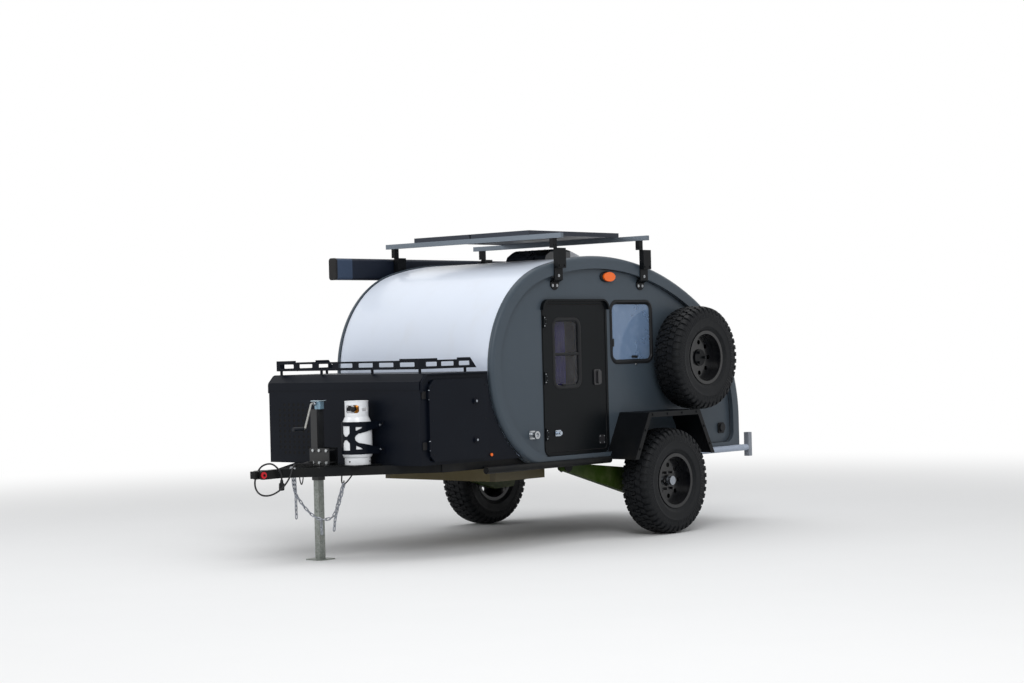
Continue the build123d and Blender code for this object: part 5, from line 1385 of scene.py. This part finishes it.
class TRAILER_OT_cable(bpy.types.Operator):
    """Lays the trailer cable on one smooth curve with its boot and round plug"""
    bl_idname = "trailer.cable"
    bl_label = "Trailer cable"

    def execute(self, context):
        setup = context.scene.trailer_rigging
        jacket = rubber("cable_jacket", (0.013, 0.013, 0.015), 500.0, 0.42)
        shell = moulded("plug_shell", (0.015, 0.015, 0.017), 0.38, 700.0)
        curve = bpy.data.curves.new("trailer_cable_line", "CURVE")
        curve.dimensions = "3D"
        curve.bevel_depth = setup.cable / 2
        curve.bevel_resolution = 4
        curve.resolution_u = 14
        curve.use_fill_caps = True
        line = curve.splines.new("NURBS")
        line.points.add(len(CABLE_ROUTE) - 1)
        for point, place in zip(line.points, CABLE_ROUTE):
            point.co = (*place, 1.0)
        line.order_u = 3
        line.use_endpoint_u = True
        curve.materials.append(jacket)
        cable = bpy.data.objects.new("trailer_cable_line", curve)
        context.scene.collection.objects.link(cable)
        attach(cable, "trailer")
        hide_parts("trailer_cable")
        end, before = Vector(CABLE_ROUTE[-1]), Vector(CABLE_ROUTE[-2])
        way = (end - before).normalized()
        profile = [(-0.006, 0.0066), (0.0, 0.0085), (0.004, 0.0105), (0.010, 0.0110), (0.0215, 0.0112),
                   (0.0225, 0.0165), (0.0240, 0.0185), (0.0300, 0.0190), (0.0304, 0.0176), (0.0332, 0.0176),
                   (0.0336, 0.0190), (0.0400, 0.0190), (0.0404, 0.0176), (0.0432, 0.0176), (0.0436, 0.0190),
                   (0.0660, 0.0190), (0.0690, 0.0180), (0.0700, 0.0165), (0.0700, 0.0150), (0.0620, 0.0148),
                   (0.0620, 0.0040)]
        body = turned(profile, end, way, 40)
        side = way.orthogonal().normalized()
        pins = [turned([(0.060, 0.0018), (0.068, 0.0018), (0.0688, 0.0010)],
                       end + 0.0085 * (side * math.cos(a) + way.cross(side) * math.sin(a)), way, 8)
                for a in around(6)]
        hinge = moved(box_mesh((-0.009, 0.0170, 0.045), (0.009, 0.0235, 0.066), 0.0015),
                      Matrix.Translation(end) @ way.to_track_quat("Z", "Y").to_matrix().to_4x4())
        plug = new_piece("cable_plug_shell", joined([body, hinge]), shell, "trailer")
        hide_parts("cable_plug")
        contacts = new_piece("cable_plug_pins", joined(pins), polished("plug_pins", hue("#b98a3c"), 0.28), "trailer")
        boot = turned([(-0.0005, 0.0135), (0.003, 0.0135), (0.006, 0.0115), (0.009, 0.0122), (0.012, 0.0105),
                       (0.015, 0.0112), (0.018, 0.0096), (0.021, 0.0102), (0.024, 0.0088), (0.028, 0.0092),
                       (0.036, 0.0066)], CABLE_ROUTE[0], (0, -1, 0), 24)
        boot = new_piece("cable_boot", boot, jacket, "trailer")
        return {"FINISHED"}


def link_mesh(length, width, wire, round_steps=8):
    """Chain link in the XY plane, its long way along X."""
    bend = width / 2
    half = length / 2 - bend
    line = []
    for sign in (1, -1):
        for k in range(round_steps + 1):
            a = math.radians(-90 + 180 * k / round_steps)
            line.append(Vector((sign * (half + bend * math.cos(a)), sign * bend * math.sin(a), 0)))
    rings = []
    for k, point in enumerate(line):
        ahead = (line[(k + 1) % len(line)] - line[k - 1]).normalized()
        out = ahead.cross(Vector((0, 0, 1)))
        rings.append([point + wire / 2 * (math.cos(a) * out + math.sin(a) * Vector((0, 0, 1)))
                      for a in around(8)])
    return closed_loft(rings)


# Lines that the chains hang along
LONG_CHAIN = ((0.045, -1.971, 0.612), (0.047, -1.969, 0.552), (0.055, -1.961, 0.483), (0.077, -1.939, 0.430),
              (0.100, -1.916, 0.383), (0.123, -1.893, 0.345), (0.147, -1.869, 0.316), (0.175, -1.841, 0.298),
              (0.206, -1.810, 0.296), (0.232, -1.784, 0.310), (0.247, -1.769, 0.340), (0.254, -1.762, 0.372),
              (0.262, -1.754, 0.417), (0.276, -1.740, 0.480), (0.286, -1.730, 0.525))
HANGING_CHAIN = ((0.050, -1.957, 0.612), (0.051, -1.954, 0.560), (0.052, -1.952, 0.450), (0.052, -1.951, 0.322))
DOUBLED_CHAIN = ((0.300, -1.734, 0.524), (0.290, -1.744, 0.470), (0.276, -1.756, 0.410), (0.262, -1.768, 0.350),
                 (0.250, -1.776, 0.290), (0.243, -1.779, 0.232))
LOOSE_END = ((0.178, -1.838, 0.284), (0.180, -1.836, 0.210))


class TRAILER_OT_chains(bpy.types.Operator):
    """Hangs the galvanised safety chains between the tongue and the drawbar"""
    bl_idname = "trailer.chains"
    bl_label = "Safety chains"

    def execute(self, context):
        setup = context.scene.trailer_rigging
        zinc = galvanised("chain_zinc", (0.26, 0.28, 0.32), 0.26)
        black = powder_coat("bail_black", context.scene.trailer_paint.steel, context.scene.trailer_paint.dust)
        link = link_mesh(setup.link + setup.wire, setup.link * 0.54, setup.wire)
        for name, line in (("chain_long", LONG_CHAIN), ("chain_hanging", HANGING_CHAIN),
                           ("chain_doubled", DOUBLED_CHAIN), ("chain_end", LOOSE_END)):
            edges = [(k, k + 1) for k in range(len(line) - 1)]
            grown(chain_flow, name, mesh_from(line, [], edges=edges), zinc, "trailer", Link=link, Pitch=setup.link)
        shackle = [tube_along([(0.046 + 0.016 * math.sin(a), -1.966 + 0.012 * math.sin(a), 0.634 - 0.022 * math.cos(a))
                               for a in (math.radians(-160 + 20 * k) for k in range(17))], 0.0042),
                   turned([(0, 0.011), (0.006, 0.011), (0.0075, 0.0095)], (0.032, -1.966, 0.655), (0, 0, 1), 6,
                          smooth=False),
                   turned([(-0.014, 0.0045), (0.030, 0.0045)], (0.046, -1.975, 0.652), (0, 1, 0), 12),
                   turned([(0, 0.0095), (0.008, 0.0095)], (0.046, -1.981, 0.652), (0, -1, 0), 6, smooth=False)]
        new_piece("chain_shackle", joined(shackle), polished("shackle_zinc", (0.55, 0.57, 0.60), 0.22), "trailer")
        ends = (Vector((0.283, -1.733, 0.594)), Vector((0.327, -1.679, 0.594)))
        low = Vector((0.291, -1.727, 0.534))
        bow = []
        for k in range(13):
            t = k / 12
            bow.append((1 - t) ** 2 * ends[0] + 2 * t * (1 - t) * (low * 2 - (ends[0] + ends[1]) / 2) +
                       t * t * ends[1])
        bail = [tube_along(bow, 0.005), moved(link_mesh(0.046, 0.026, 0.008), Matrix.Translation(low) @
                                             Matrix.Rotation(math.radians(45), 4, "Z") @
                                             Matrix.Rotation(math.radians(100), 4, "Y"))]
        new_piece("chain_bail", joined(bail), black, "trailer")
        loop = [(0.034, -1.880 + 0.016 * math.sin(a), 0.566 - 0.034 * math.cos(a) + 0.020 * abs(math.sin(a)))
                for a in (math.radians(-110 + 20 * k) for k in range(12))]
        new_piece("tongue_bail", tube_along(loop, 0.004), black, "trailer")
        return {"FINISHED"}


class TRAILER_OT_box_vent(bpy.types.Operator):
    """Pierces the vent plate in the front of the box, with a near-black sheet behind it as painted shade in the holes
    """
    bl_idname = "trailer.box_vent"
    bl_label = "Box vent"

    def execute(self, context):
        setup = context.scene.trailer_trim
        across, down = setup.across, setup.down
        columns, rows = 7, 10
        left, top = -0.655, 1.067
        spots, is_open = [], []
        for row in range(rows):
            for column in range(columns):
                corner = row in (0, rows - 1) and column in (0, columns - 1)
                spots.append((left + column * across, BOX_FRONT - 0.0016, top - row * down))
                is_open.append(not corner)
        carrier = mesh_from(spots, [])
        layer = carrier.attributes.new("open", "BOOLEAN", "POINT")
        for k, value in enumerate(is_open):
            layer.data[k].value = value
        grown(grid_flow, "box_vent_plate", carrier, box_coat(context.scene.trailer_paint), "trailer",
              Pierced=self.cell(across, down, setup.hole / 2), Blank=self.cell(across, down, 0.0))
        right, low = left + (columns - 0.55) * across, top - (rows - 0.55) * down
        # painted shade: a near-black sheet behind the holes stands for the shade inside the box
        painted_shade_sheet = box_mesh((left - 0.45 * across, BOX_FRONT - 0.0005, low),
                        (right, BOX_FRONT - 0.0002, top + 0.45 * down))
        new_piece("box_vent_dark", painted_shade_sheet, moulded("vent_dark", (0.003, 0.003, 0.0035), 0.7), "trailer")
        return {"FINISHED"}

    def cell(self, across, down, hole):
        """Square of sheet around a round hole, with the hole's wall, facing the front."""
        steps = 16
        ways = [(math.cos(a), math.sin(a)) for a in (math.tau * (k + 0.5) / steps for k in range(steps))]
        verts = []
        for x, z in ways:
            reach = min(across / 2 / max(abs(x), 1e-6), down / 2 / max(abs(z), 1e-6))
            verts.append((x * reach, 0.0, z * reach))
        if not hole:
            return mesh_from(verts, [tuple(range(steps))])
        for out, radius in ((0.0, hole + 0.0006), (0.0005, hole), (0.0013, hole)):
            verts += [(radius * x, out, radius * z) for x, z in ways]
        faces = []
        for ring in range(3):
            for k in range(steps):
                j = (k + 1) % steps
                faces.append((ring * steps + k, ring * steps + j, (ring + 1) * steps + j, (ring + 1) * steps + k))
        mesh = bpy.data.meshes.new("cell")
        mesh.from_pydata(verts, [], faces)
        return mesh


def roof_height(y, inset):
    """Height of a place on the roof arc, some way in from the outline."""
    return ROOF_Z + math.sqrt((ROOF_R - inset) ** 2 - (y - ROOF_Y) ** 2)


def side_spots(side, out, places):
    """Spots on one side of the trailer that face outwards."""
    return [((side * out, y, z), (side, 0, 0)) for y, z in places]


class TRAILER_OT_fasteners(bpy.types.Operator):
    """Fits bolts, screws and rivets to fenders, brackets, hinges, box and doors"""
    bl_idname = "trailer.fasteners"
    bl_label = "Bolts and screws"

    def execute(self, context):
        setup = context.scene.trailer_trim
        zinc = polished("bolt_zinc", (0.46, 0.48, 0.50), 0.30)
        black = powder_coat("bolt_black", context.scene.trailer_paint.steel, context.scene.trailer_paint.dust)
        bolt, screw = hex_head(setup.bolt, setup.bolt * 0.7, 0.002), screw_head(setup.screw, setup.screw * 0.55)
        rack = [((x, BOX_FRONT + 0.0398, 1.3155), (0, -1, 0)) for x in (-0.70, -0.50, 0.50, 0.70)]
        clamp, foot, block = [], [], []
        for _, side in SIDES:
            for bar in BAR_YS:
                middle = bar + 0.060
                foot += side_spots(side, WALL_OUT + 0.008, [(middle - 0.024, 1.884), (middle + 0.024, 1.884)])
                foot += side_spots(side, WALL_OUT + 0.0485, [(middle, 1.955)])
                block += side_spots(side, 0.845, [(middle - 0.030, 2.028), (middle + 0.030, 2.028)])
                clamp += side_spots(side, 0.8335, [(bar - 0.012, 2.178), (bar + 0.012, 2.178)])
        heads("bracket_bolts", foot, bolt, zinc, "trailer", 0.85)
        heads("block_bolts", block, bolt, black, "trailer", 0.8)
        heads("clamp_screws", clamp, screw, black, "trailer")
        heads("rack_bolts", rack, bolt, black, "trailer", 0.7)
        fender = []
        for _, side in SIDES:
            for y in (-0.270, -0.090, 0.090, 0.270):
                fender += side_spots(side, FENDER_OUT, [(AXLE + y, 0.9115)])
            for end in (-1, 1):
                for t in (0.22, 0.62):
                    half = 0.489 - 0.177 * t - 0.020
                    fender += side_spots(side, FENDER_OUT, [(AXLE + end * half, 0.586 + 0.343 * t)])
        heads("fender_bolts", fender, bolt, black, "trailer", 0.9)
        holder = [((x, BOX_FRONT - 0.0042, z), (0, -1, 0)) for x in (GAS[0] - 0.138, GAS[0] + 0.138)
                  for z in (0.760, 0.938)]
        heads("holder_bolts", holder, bolt, black, "trailer", 0.7)
        hinge = []
        for _, side in SIDES:
            for z in DOOR_HINGE_ZS:
                hinge += side_spots(side, WALL_OUT + 0.0162, [(AXLE - 1.160, z - 0.030), (AXLE - 1.160, z + 0.030)])
        heads("hinge_screws", hinge, screw, zinc, "trailer", 0.8)
        for word, side in SIDES:
            spots = side_spots(side, WALL_OUT + 0.0062, [(AXLE - 0.530 + a, 0.738 + b) for a in (-0.023, 0.023)
                                                        for b in (-0.024, 0.024)])
            heads("lock_screws_" + word, spots, screw, zinc, "entry_door_" + word, 0.7)
            spots = side_spots(side, WALL_OUT + 0.0062, [(AXLE - 1.312 + a, 0.806) for a in (-0.028, 0.028)])
            heads("catch_screws_" + word, spots, screw, black, "trailer", 0.7)
            spots = side_spots(side, BOX_HALF + 0.0205, [(AXLE - 1.800 - a, z) for a in (0.030, 0.555)
                                                        for z in (0.720, 0.952, 1.184)])
            heads("box_door_rivets_" + word, spots, screw, black, "box_door_" + word, 0.8)
        roof = [((x, y, roof_height(y, 0.0097)), (0, 0, 1)) for x in (-0.200, 0.0, 0.200)
                for y in (VENT_Y - 0.205, VENT_Y + 0.205)]
        heads("vent_screws", roof, screw, zinc, "trailer", 0.8)
        leg = [((0.0, JACK_Y - 0.0160, 0.335), (0, -1, 0)), ((0.0160, JACK_Y, 0.335), (1, 0, 0))]
        heads("leg_pins", leg, bolt, black, "jack_leg", 1.15)
        ring = [((GAS[0] + 0.0902 * math.sin(a), GAS[1] - 0.0902 * math.cos(a), 0.683), (math.sin(a), -math.cos(a), 0))
                for a in (math.radians(9), math.radians(112))]
        heads("foot_ring_bolts", ring, screw, black, "trailer", 1.1)
        return {"FINISHED"}


class TRAILER_OT_seals(bpy.types.Operator):
    """Runs sealant and rubber beads along skin, recess edges, hatch, doors and vent; the recess bead is partly painted
    shade.
    """
    bl_idname = "trailer.seals"
    bl_label = "Seals"

    def execute(self, context):
        radius = context.scene.trailer_trim.seal
        dark = rubber("seal_rubber", (0.010, 0.010, 0.011))
        skin, recess = [], []
        for _, side in SIDES:
            skin.append((on_side(side, cabin_arc(240, 66, 110, SKIN_INSET), SKIN_HALF), False))
            # the black bead on the recess edge is partly a real gasket and partly painted shade along the step from
            # rim to recess
            recess.append((on_side(side, self.recess_line(), WALL_OUT + 0.0006), True))
        beads("skin_seals", skin, radius * 0.8, dark, "trailer")
        beads("recess_seals", recess, radius * 0.8, dark, "trailer")
        for word, side in SIDES:
            cy, cz, w, h = DOOR
            ring = on_side(side, rounded_loop(cy, cz, w + 0.006, h + 0.006, 0.034, 12), WALL_OUT + 0.0005)
            beads("door_seal_" + word, [(ring, True)], 0.0026, dark, "trailer")
            w, h, top = 0.734, 1.133, 1.700
            line = [(cy - w / 2, top)] + [p for p in rounded_loop(cy, cz, w, h, 0.062, 12) if p[1] < cz]
            ring = on_side(side, line + [(cy + w / 2, top)], WALL_OUT + 0.0005)
            beads("frame_seal_" + word, [(ring, False)], 0.0024, dark, "trailer")
        y = HATCH_Y + 0.003
        line = [Vector((x, y, roof_height(y, SKIN_INSET + 0.003))) for x in (-SKIN_HALF + 0.002, SKIN_HALF - 0.002)]
        beads("hatch_seal", [(line, False)], 0.0034, dark, "trailer")
        vent = [Vector((x, y, roof_height(y, 0.009))) for x, y in rounded_loop(0, VENT_Y, 0.444, 0.444, 0.006, 6)]
        beads("vent_seal", [(vent, True)], 0.0034, dark, "trailer")
        return {"FINISHED"}

    def recess_line(self):
        """Edge between the rim and the recessed wall, as a closed line."""
        inset, r = RIM_BAND + 0.0006, 0.085
        start = 180 + math.degrees(math.asin((NOSE_Z - SILL_TOP) / (NOSE_R - inset)))
        line = cabin_arc(start, 0, 160, inset)
        for k in range(9):
            a = math.radians(-90 * k / 8)
            line.append((TAIL_Y - inset - r + r * math.cos(a), SILL_TOP + r + r * math.sin(a)))
        return line


class TRAILER_OT_fittings(bpy.types.Operator):
    """Adds the small fittings: jack cap, regulator, pins, lamps, awning seams and vent ribs"""
    bl_idname = "trailer.fittings"
    bl_label = "Fittings"

    def execute(self, context):
        paint = context.scene.trailer_paint
        plated = galvanised("head_plate", (0.34, 0.44, 0.50), 0.34)
        steel = polished("pin_steel", (0.34, 0.37, 0.41), 0.28)
        black = moulded("fitting_black", (0.013, 0.013, 0.014), 0.4)
        cap = box_mesh((-0.022, JACK_Y - 0.038, 1.0990), (0.060, JACK_Y + 0.036, 1.1065), 0.003)
        new_piece("jack_cap", cap, plated, "trailer")
        collar = turned([(0, 0.0125), (0.006, 0.0125), (0.008, 0.011), (0.014, 0.011)],
                        (0.013, JACK_Y - 0.0275, 1.085), (0, -1, 0), 20)
        new_piece("crank_collar", collar, steel, "trailer")
        self.gas_fittings(black, enamel(paint))
        self.hinge_pins(steel, black)
        self.lamps(black)
        self.awning(awning_cover(paint), black)
        self.vent()
        self.box_hardware(steel)
        return {"FINISHED"}

    def gas_fittings(self, black, white):
        """Regulator, nut, weld and collar lip of the gas cylinder."""
        gx, gy = GAS
        knobs = []
        for x, y, z, size in ((gx - 0.006, gy - 0.054, 1.051, 0.0160), (gx + 0.020, gy - 0.048, 1.042, 0.0185)):
            knobs.append(turned([(-0.004, size * 0.8), (0.002, size), (0.014, size), (0.018, size * 0.8)],
                                (x, y, z), (0.37, -0.93, 0), 20))
            knobs.append(tube_along([(x, y, z), (x * 0.4 + gx * 0.6, gy - 0.006, z)], 0.008))
        new_piece("gas_regulator", joined(knobs), black, "trailer")
        nut = joined([turned([(0, 0.0105), (0.022, 0.0105), (0.024, 0.009)], (gx + 0.036, gy - 0.030, 1.044),
                             (0.5, -0.4, 1.0), 6, smooth=False),
                      tube_along([(gx + 0.036, gy - 0.030, 1.030), (gx + 0.010, gy - 0.008, 1.030)], 0.008)])
        new_piece("gas_nut", nut, polished("nut_brass", hue("#c07a2a"), 0.28), "trailer")
        weld = turned([(-0.0012, 0.1042), (0.0, 0.1050), (0.0012, 0.1042)], (gx, gy, 0.726), (0, 0, 1), 64)
        new_piece("gas_weld", weld, white, "trailer")
        rolled = [(-0.0030, 0.0840), (0.0, 0.0836), (0.0016, 0.0822),
                  (0.0016, 0.0778), (0.0, 0.0764), (-0.0030, 0.0760)]
        lip = turned(rolled, (gx, gy, 1.0985), (0, 0, 1), 64, closed=True)
        new_piece("gas_collar_lip", lip, white, "trailer")

    def hinge_pins(self, steel, black):
        """Pins, straps and knuckle gaps of the hinges."""
        pins, straps = [], []
        for _, side in SIDES:
            for z in (0.783, 1.131):
                pins.append(turned([(-0.034, 0.0030), (-0.0335, 0.0040), (0.0335, 0.0040), (0.034, 0.0030)],
                                   (side * BOX_HINGE[0], BOX_HINGE[1], z), (0, 0, 1), 12))
                pins.append(turned([(0.030, 0.0072), (0.034, 0.0072), (0.035, 0.006)],
                                   (side * BOX_HINGE[0], BOX_HINGE[1], z), (0, 0, 1), 16))
                straps.append(plate(side, (AXLE - 2.425, z, 0.040, 0.052), 0.004, BOX_HALF, BOX_HALF + 0.0062))
        new_piece("box_hinge_pins", joined(pins), steel, "trailer")
        new_piece("box_hinge_straps", joined(straps), black, "trailer")
        knuckles = []
        for _, side in SIDES:
            for z in DOOR_HINGE_ZS:
                for at in (-0.015, 0.015):
                    knuckles.append(turned([(at - 0.0006, 0.0067), (at + 0.0006, 0.0067)],
                                           (side * (WALL_OUT + 0.014), AXLE - 1.149, z), (0, 0, 1), 16, smooth=False))
        new_piece("hinge_gaps", joined(knuckles), steel, "trailer")

    def lamps(self, black):
        """Bezels and bases of the lamps, and the number lamp."""
        bezels = []
        for x in (-0.590, 0.590):
            bezels.append(turned([(0, 0.0515), (0.006, 0.0580), (0.010, 0.0585), (0.013, 0.0560), (0.014, 0.0505)],
                                 (x, TAIL_Y - SKIN_INSET, 0.712), (0, 1, 0), 48))
        new_piece("lamp_bezels", joined(bezels), black, "trailer")
        bases = []
        for _, side in SIDES:
            rings = []
            for half_w, half_h, out in ((0.078, 0.040, 0.0), (0.078, 0.040, 0.010), (0.074, 0.037, 0.014)):
                loop = [(MARKER_BASE[0] + half_w * math.cos(a), MARKER_BASE[1] + half_h * math.sin(a))
                        for a in around(48)]
                rings.append(on_side(side, loop, WALL_OUT + out))
            bases.append(loft(rings))
        new_piece("marker_bases", joined(bases), black, "trailer")
        box = box_mesh((-0.090, TAIL_Y - SKIN_INSET, 0.672), (0.090, TAIL_Y - SKIN_INSET + 0.016, 0.690), 0.003)
        new_piece("number_lamp", box, black, "trailer")

    def awning(self, cover, black):
        """Seams and end caps of the awning case."""
        low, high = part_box("awning_case")
        lip = [tube_along([(high.x - 0.004, low.y + 0.020, low.z + 0.026),
                           (high.x - 0.004, high.y - 0.020, low.z + 0.026)], 0.004),
               tube_along([(low.x - 0.001, low.y + 0.020, high.z - 0.040),
                           (low.x - 0.001, high.y - 0.020, high.z - 0.040)], 0.0030)]
        new_piece("awning_seams", joined(lip), cover, "trailer")
        caps = []
        for y, way in ((low.y, -1), (high.y, 1)):
            middle = ((low.x + high.x) / 2, (low.z + high.z) / 2)
            w, h = high.x - low.x, high.z - low.z
            rings = []
            for out, grow in ((-0.010, 0.0012), (0.0, 0.0012), (0.0030, -0.002), (0.0045, -0.008)):
                rings.append([Vector((x, y + way * out, z))
                              for x, z in rounded_loop(*middle, w + 2 * grow, h + 2 * grow, 0.022 + grow)])
            caps.append(loft(rings))
        new_piece("awning_caps", joined(caps), black, "trailer")

    def vent(self):
        """Ribs of the roof vent's hood."""
        ribs = []
        for k in range(6):
            x = -0.165 + 0.066 * k
            ribs.append(box_mesh((x - 0.003, VENT_Y - 0.090, 2.1872), (x + 0.003, VENT_Y + 0.055, 2.1905), 0.0012))
        new_piece("vent_ribs", joined(ribs), vent_plastic(), "trailer")

    def box_hardware(self, steel):
        """Knobs of the gas holder and the locks of box and doors."""
        knobs = []
        for z in (0.760, 0.928):
            knobs.append(turned([(0, 0.011), (0.004, 0.011), (0.006, 0.006), (0.016, 0.006), (0.017, 0.0045)],
                                (0.372, BOX_FRONT, z), (0, -1, 0), 20))
            knobs.append(box_mesh((0.364, BOX_FRONT - 0.014, z - 0.003), (0.400, BOX_FRONT - 0.010, z + 0.003), 0.001))
        new_piece("holder_knobs", joined(knobs), steel, "trailer")
        for word, side in SIDES:
            locks = []
            for z in (0.803, 1.074):
                locks.append(turned([(0, 0.0085), (0.0024, 0.0085), (0.0032, 0.0072)],
                                    (side * (BOX_HALF + 0.0335), AXLE - 1.930, z), (side, 0, 0), 20))
                locks.append(box_mesh((side * (BOX_HALF + 0.034) - 0.001, AXLE - 1.931, z - 0.0045),
                                      (side * (BOX_HALF + 0.034) + 0.0026, AXLE - 1.929, z + 0.0045)))
            new_piece("box_latch_locks_" + word, joined(locks), steel, "box_door_" + word)
            key = turned([(0, 0.0080), (0.0020, 0.0080), (0.0028, 0.0066)],
                         (side * (WALL_OUT + 0.012), AXLE - 0.551, 1.172), (side, 0, 0), 20)
            new_piece("door_key_" + word, key, steel, "entry_door_" + word)


class TRAILER_OT_galley(bpy.types.Operator):
    """Fits drawer fronts, knobs and edge strips to the galley behind the hatch"""
    bl_idname = "trailer.galley"
    bl_label = "Galley"

    def execute(self, context):
        wood = wood_grain("drawer_ply", hue("#b98f5a"), hue("#95693a"), 2)
        knob_look = polished("drawer_knobs", (0.55, 0.55, 0.54), 0.3)
        fronts, knobs = [], []
        for left, right in ((-0.700, -0.256), (-0.224, 0.224), (0.256, 0.700)):
            for low, high in ((0.700, 0.888), (0.894, 1.100)):
                fronts.append(box_mesh((left, GALLEY_FACE, low), (right, GALLEY_FACE + 0.016, high), 0.002))
                knobs.append(turned([(0, 0.006), (0.010, 0.006), (0.013, 0.012), (0.020, 0.013), (0.024, 0.009)],
                                    ((left + right) / 2, GALLEY_FACE + 0.016, (low + high) / 2 + 0.04), (0, 1, 0), 20))
        new_piece("drawer_fronts", joined(fronts), wood, "trailer")
        new_piece("drawer_knobs", joined(knobs), knob_look, "trailer")
        return {"FINISHED"}


class TRAILER_OT_paint(bpy.types.Operator):
    """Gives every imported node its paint, metal, plastic or rubber"""
    bl_idname = "trailer.paint"
    bl_label = "Paint"

    def execute(self, context):
        coat_nodes(context.scene.trailer_paint)
        return {"FINISHED"}


class TRAILER_OT_stage(bpy.types.Operator):
    """Sets the camera, the pale floor, the soft lamps and the sky"""
    bl_idname = "trailer.stage"
    bl_label = "Stage"

    def execute(self, context):
        scene, stage = context.scene, context.scene.trailer_stage
        scene.view_settings.view_transform = "Standard"
        yaw, pitch, roll = stage.turn
        ahead = Vector((-math.sin(yaw) * math.cos(pitch), math.cos(yaw) * math.cos(pitch), math.sin(pitch)))
        right = Vector((math.cos(yaw), math.sin(yaw), 0))
        up = right.cross(ahead)
        across = math.cos(roll) * right + math.sin(roll) * up
        camera = bpy.data.objects.new("camera", bpy.data.cameras.new("camera"))
        camera.data.lens = stage.lens
        camera.data.clip_end = 200.0
        camera.matrix_world = (Matrix.Translation(stage.stand) @
                               Matrix((across, across.cross(ahead), -ahead)).transposed().to_4x4())
        scene.collection.objects.link(camera)
        scene.camera = camera
        floor = new_piece("studio_floor", mesh_from([(-60, -60, 0), (60, -60, 0), (60, 60, 0), (-60, 60, 0)],
                                                    [(0, 1, 2, 3)]), floor_shade(stage))
        self.lamp("key_lamp", (7.5, -6.5, 7.5), (0, 0, 1.0), 5.0, stage.key)
        self.lamp("front_lamp", (-4.5, -8.5, 5.0), (0, 0, 0.8), 4.0, stage.key * 0.40)
        self.lamp("top_lamp", (0.5, 1.0, 8.0), (0, 0.4, 0.0), 6.0, stage.key * 0.45)
        world = bpy.data.worlds.new("studio_sky")
        scene.world = world
        world.use_nodes = True
        seen = seen_directly(world.node_tree)
        sky = world.node_tree.nodes["Background"]
        sky.inputs[0].default_value = (1, 1, 1, 1)
        level = world.node_tree.nodes.new("ShaderNodeMapRange")
        level.inputs["To Min"].default_value = stage.sky
        world.node_tree.links.new(seen, level.inputs["Value"])
        world.node_tree.links.new(level.outputs[0], sky.inputs[1])
        return {"FINISHED"}

    def lamp(self, name, place, aim, size, power):
        """Square area lamp aimed at a place."""
        light = bpy.data.lights.new(name, "AREA")
        light.shape = "SQUARE"
        light.size = size
        light.energy = power
        thing = bpy.data.objects.new(name, light)
        thing.matrix_world = (Matrix.Translation(place) @
                              (Vector(place) - Vector(aim)).to_track_quat("Z", "Y").to_matrix().to_4x4())
        bpy.context.scene.collection.objects.link(thing)


PARTS = (TRAILER_OT_stage, TRAILER_OT_cable, TRAILER_OT_paint, TRAILER_OT_tyres, TRAILER_OT_windows,
         TRAILER_OT_curtains, TRAILER_OT_mattress, TRAILER_OT_chains, TRAILER_OT_box_vent, TRAILER_OT_seals,
         TRAILER_OT_fasteners, TRAILER_OT_fittings, TRAILER_OT_galley)
SETTINGS = {"trailer_paint": TrailerPaint, "trailer_tyres": TrailerTyres, "trailer_trim": TrailerTrim,
            "trailer_rigging": TrailerRigging, "trailer_cloth": TrailerCloth, "trailer_stage": TrailerStage}


class TRAILER_PT_finish(bpy.types.Panel):
    """Lists the trailer's pieces and their sizes and colours"""
    bl_idname = "TRAILER_PT_finish"
    bl_label = "Teardrop trailer"
    bl_space_type = "VIEW_3D"
    bl_region_type = "UI"
    bl_category = "Trailer"

    def draw(self, context):
        for part in PARTS:
            self.layout.operator(part.bl_idname)
        for name, group in SETTINGS.items():
            box = self.layout.box()
            for setting in group.__annotations__:
                box.prop(getattr(context.scene, name), setting)


def register():
    for group in SETTINGS.values():
        bpy.utils.register_class(group)
    for name, group in SETTINGS.items():
        setattr(bpy.types.Scene, name, bpy.props.PointerProperty(type=group))
    for part in PARTS + (TRAILER_PT_finish,):
        bpy.utils.register_class(part)


def unregister():
    for part in reversed(PARTS + (TRAILER_PT_finish,)):
        bpy.utils.unregister_class(part)
    for name, group in SETTINGS.items():
        delattr(bpy.types.Scene, name)
        bpy.utils.unregister_class(group)


def main():
    """Makes the stage and every piece."""
    register()
    for part in PARTS:
        getattr(bpy.ops.trailer, part.bl_idname.split(".")[1])()


if __name__ == "__main__":
    main()
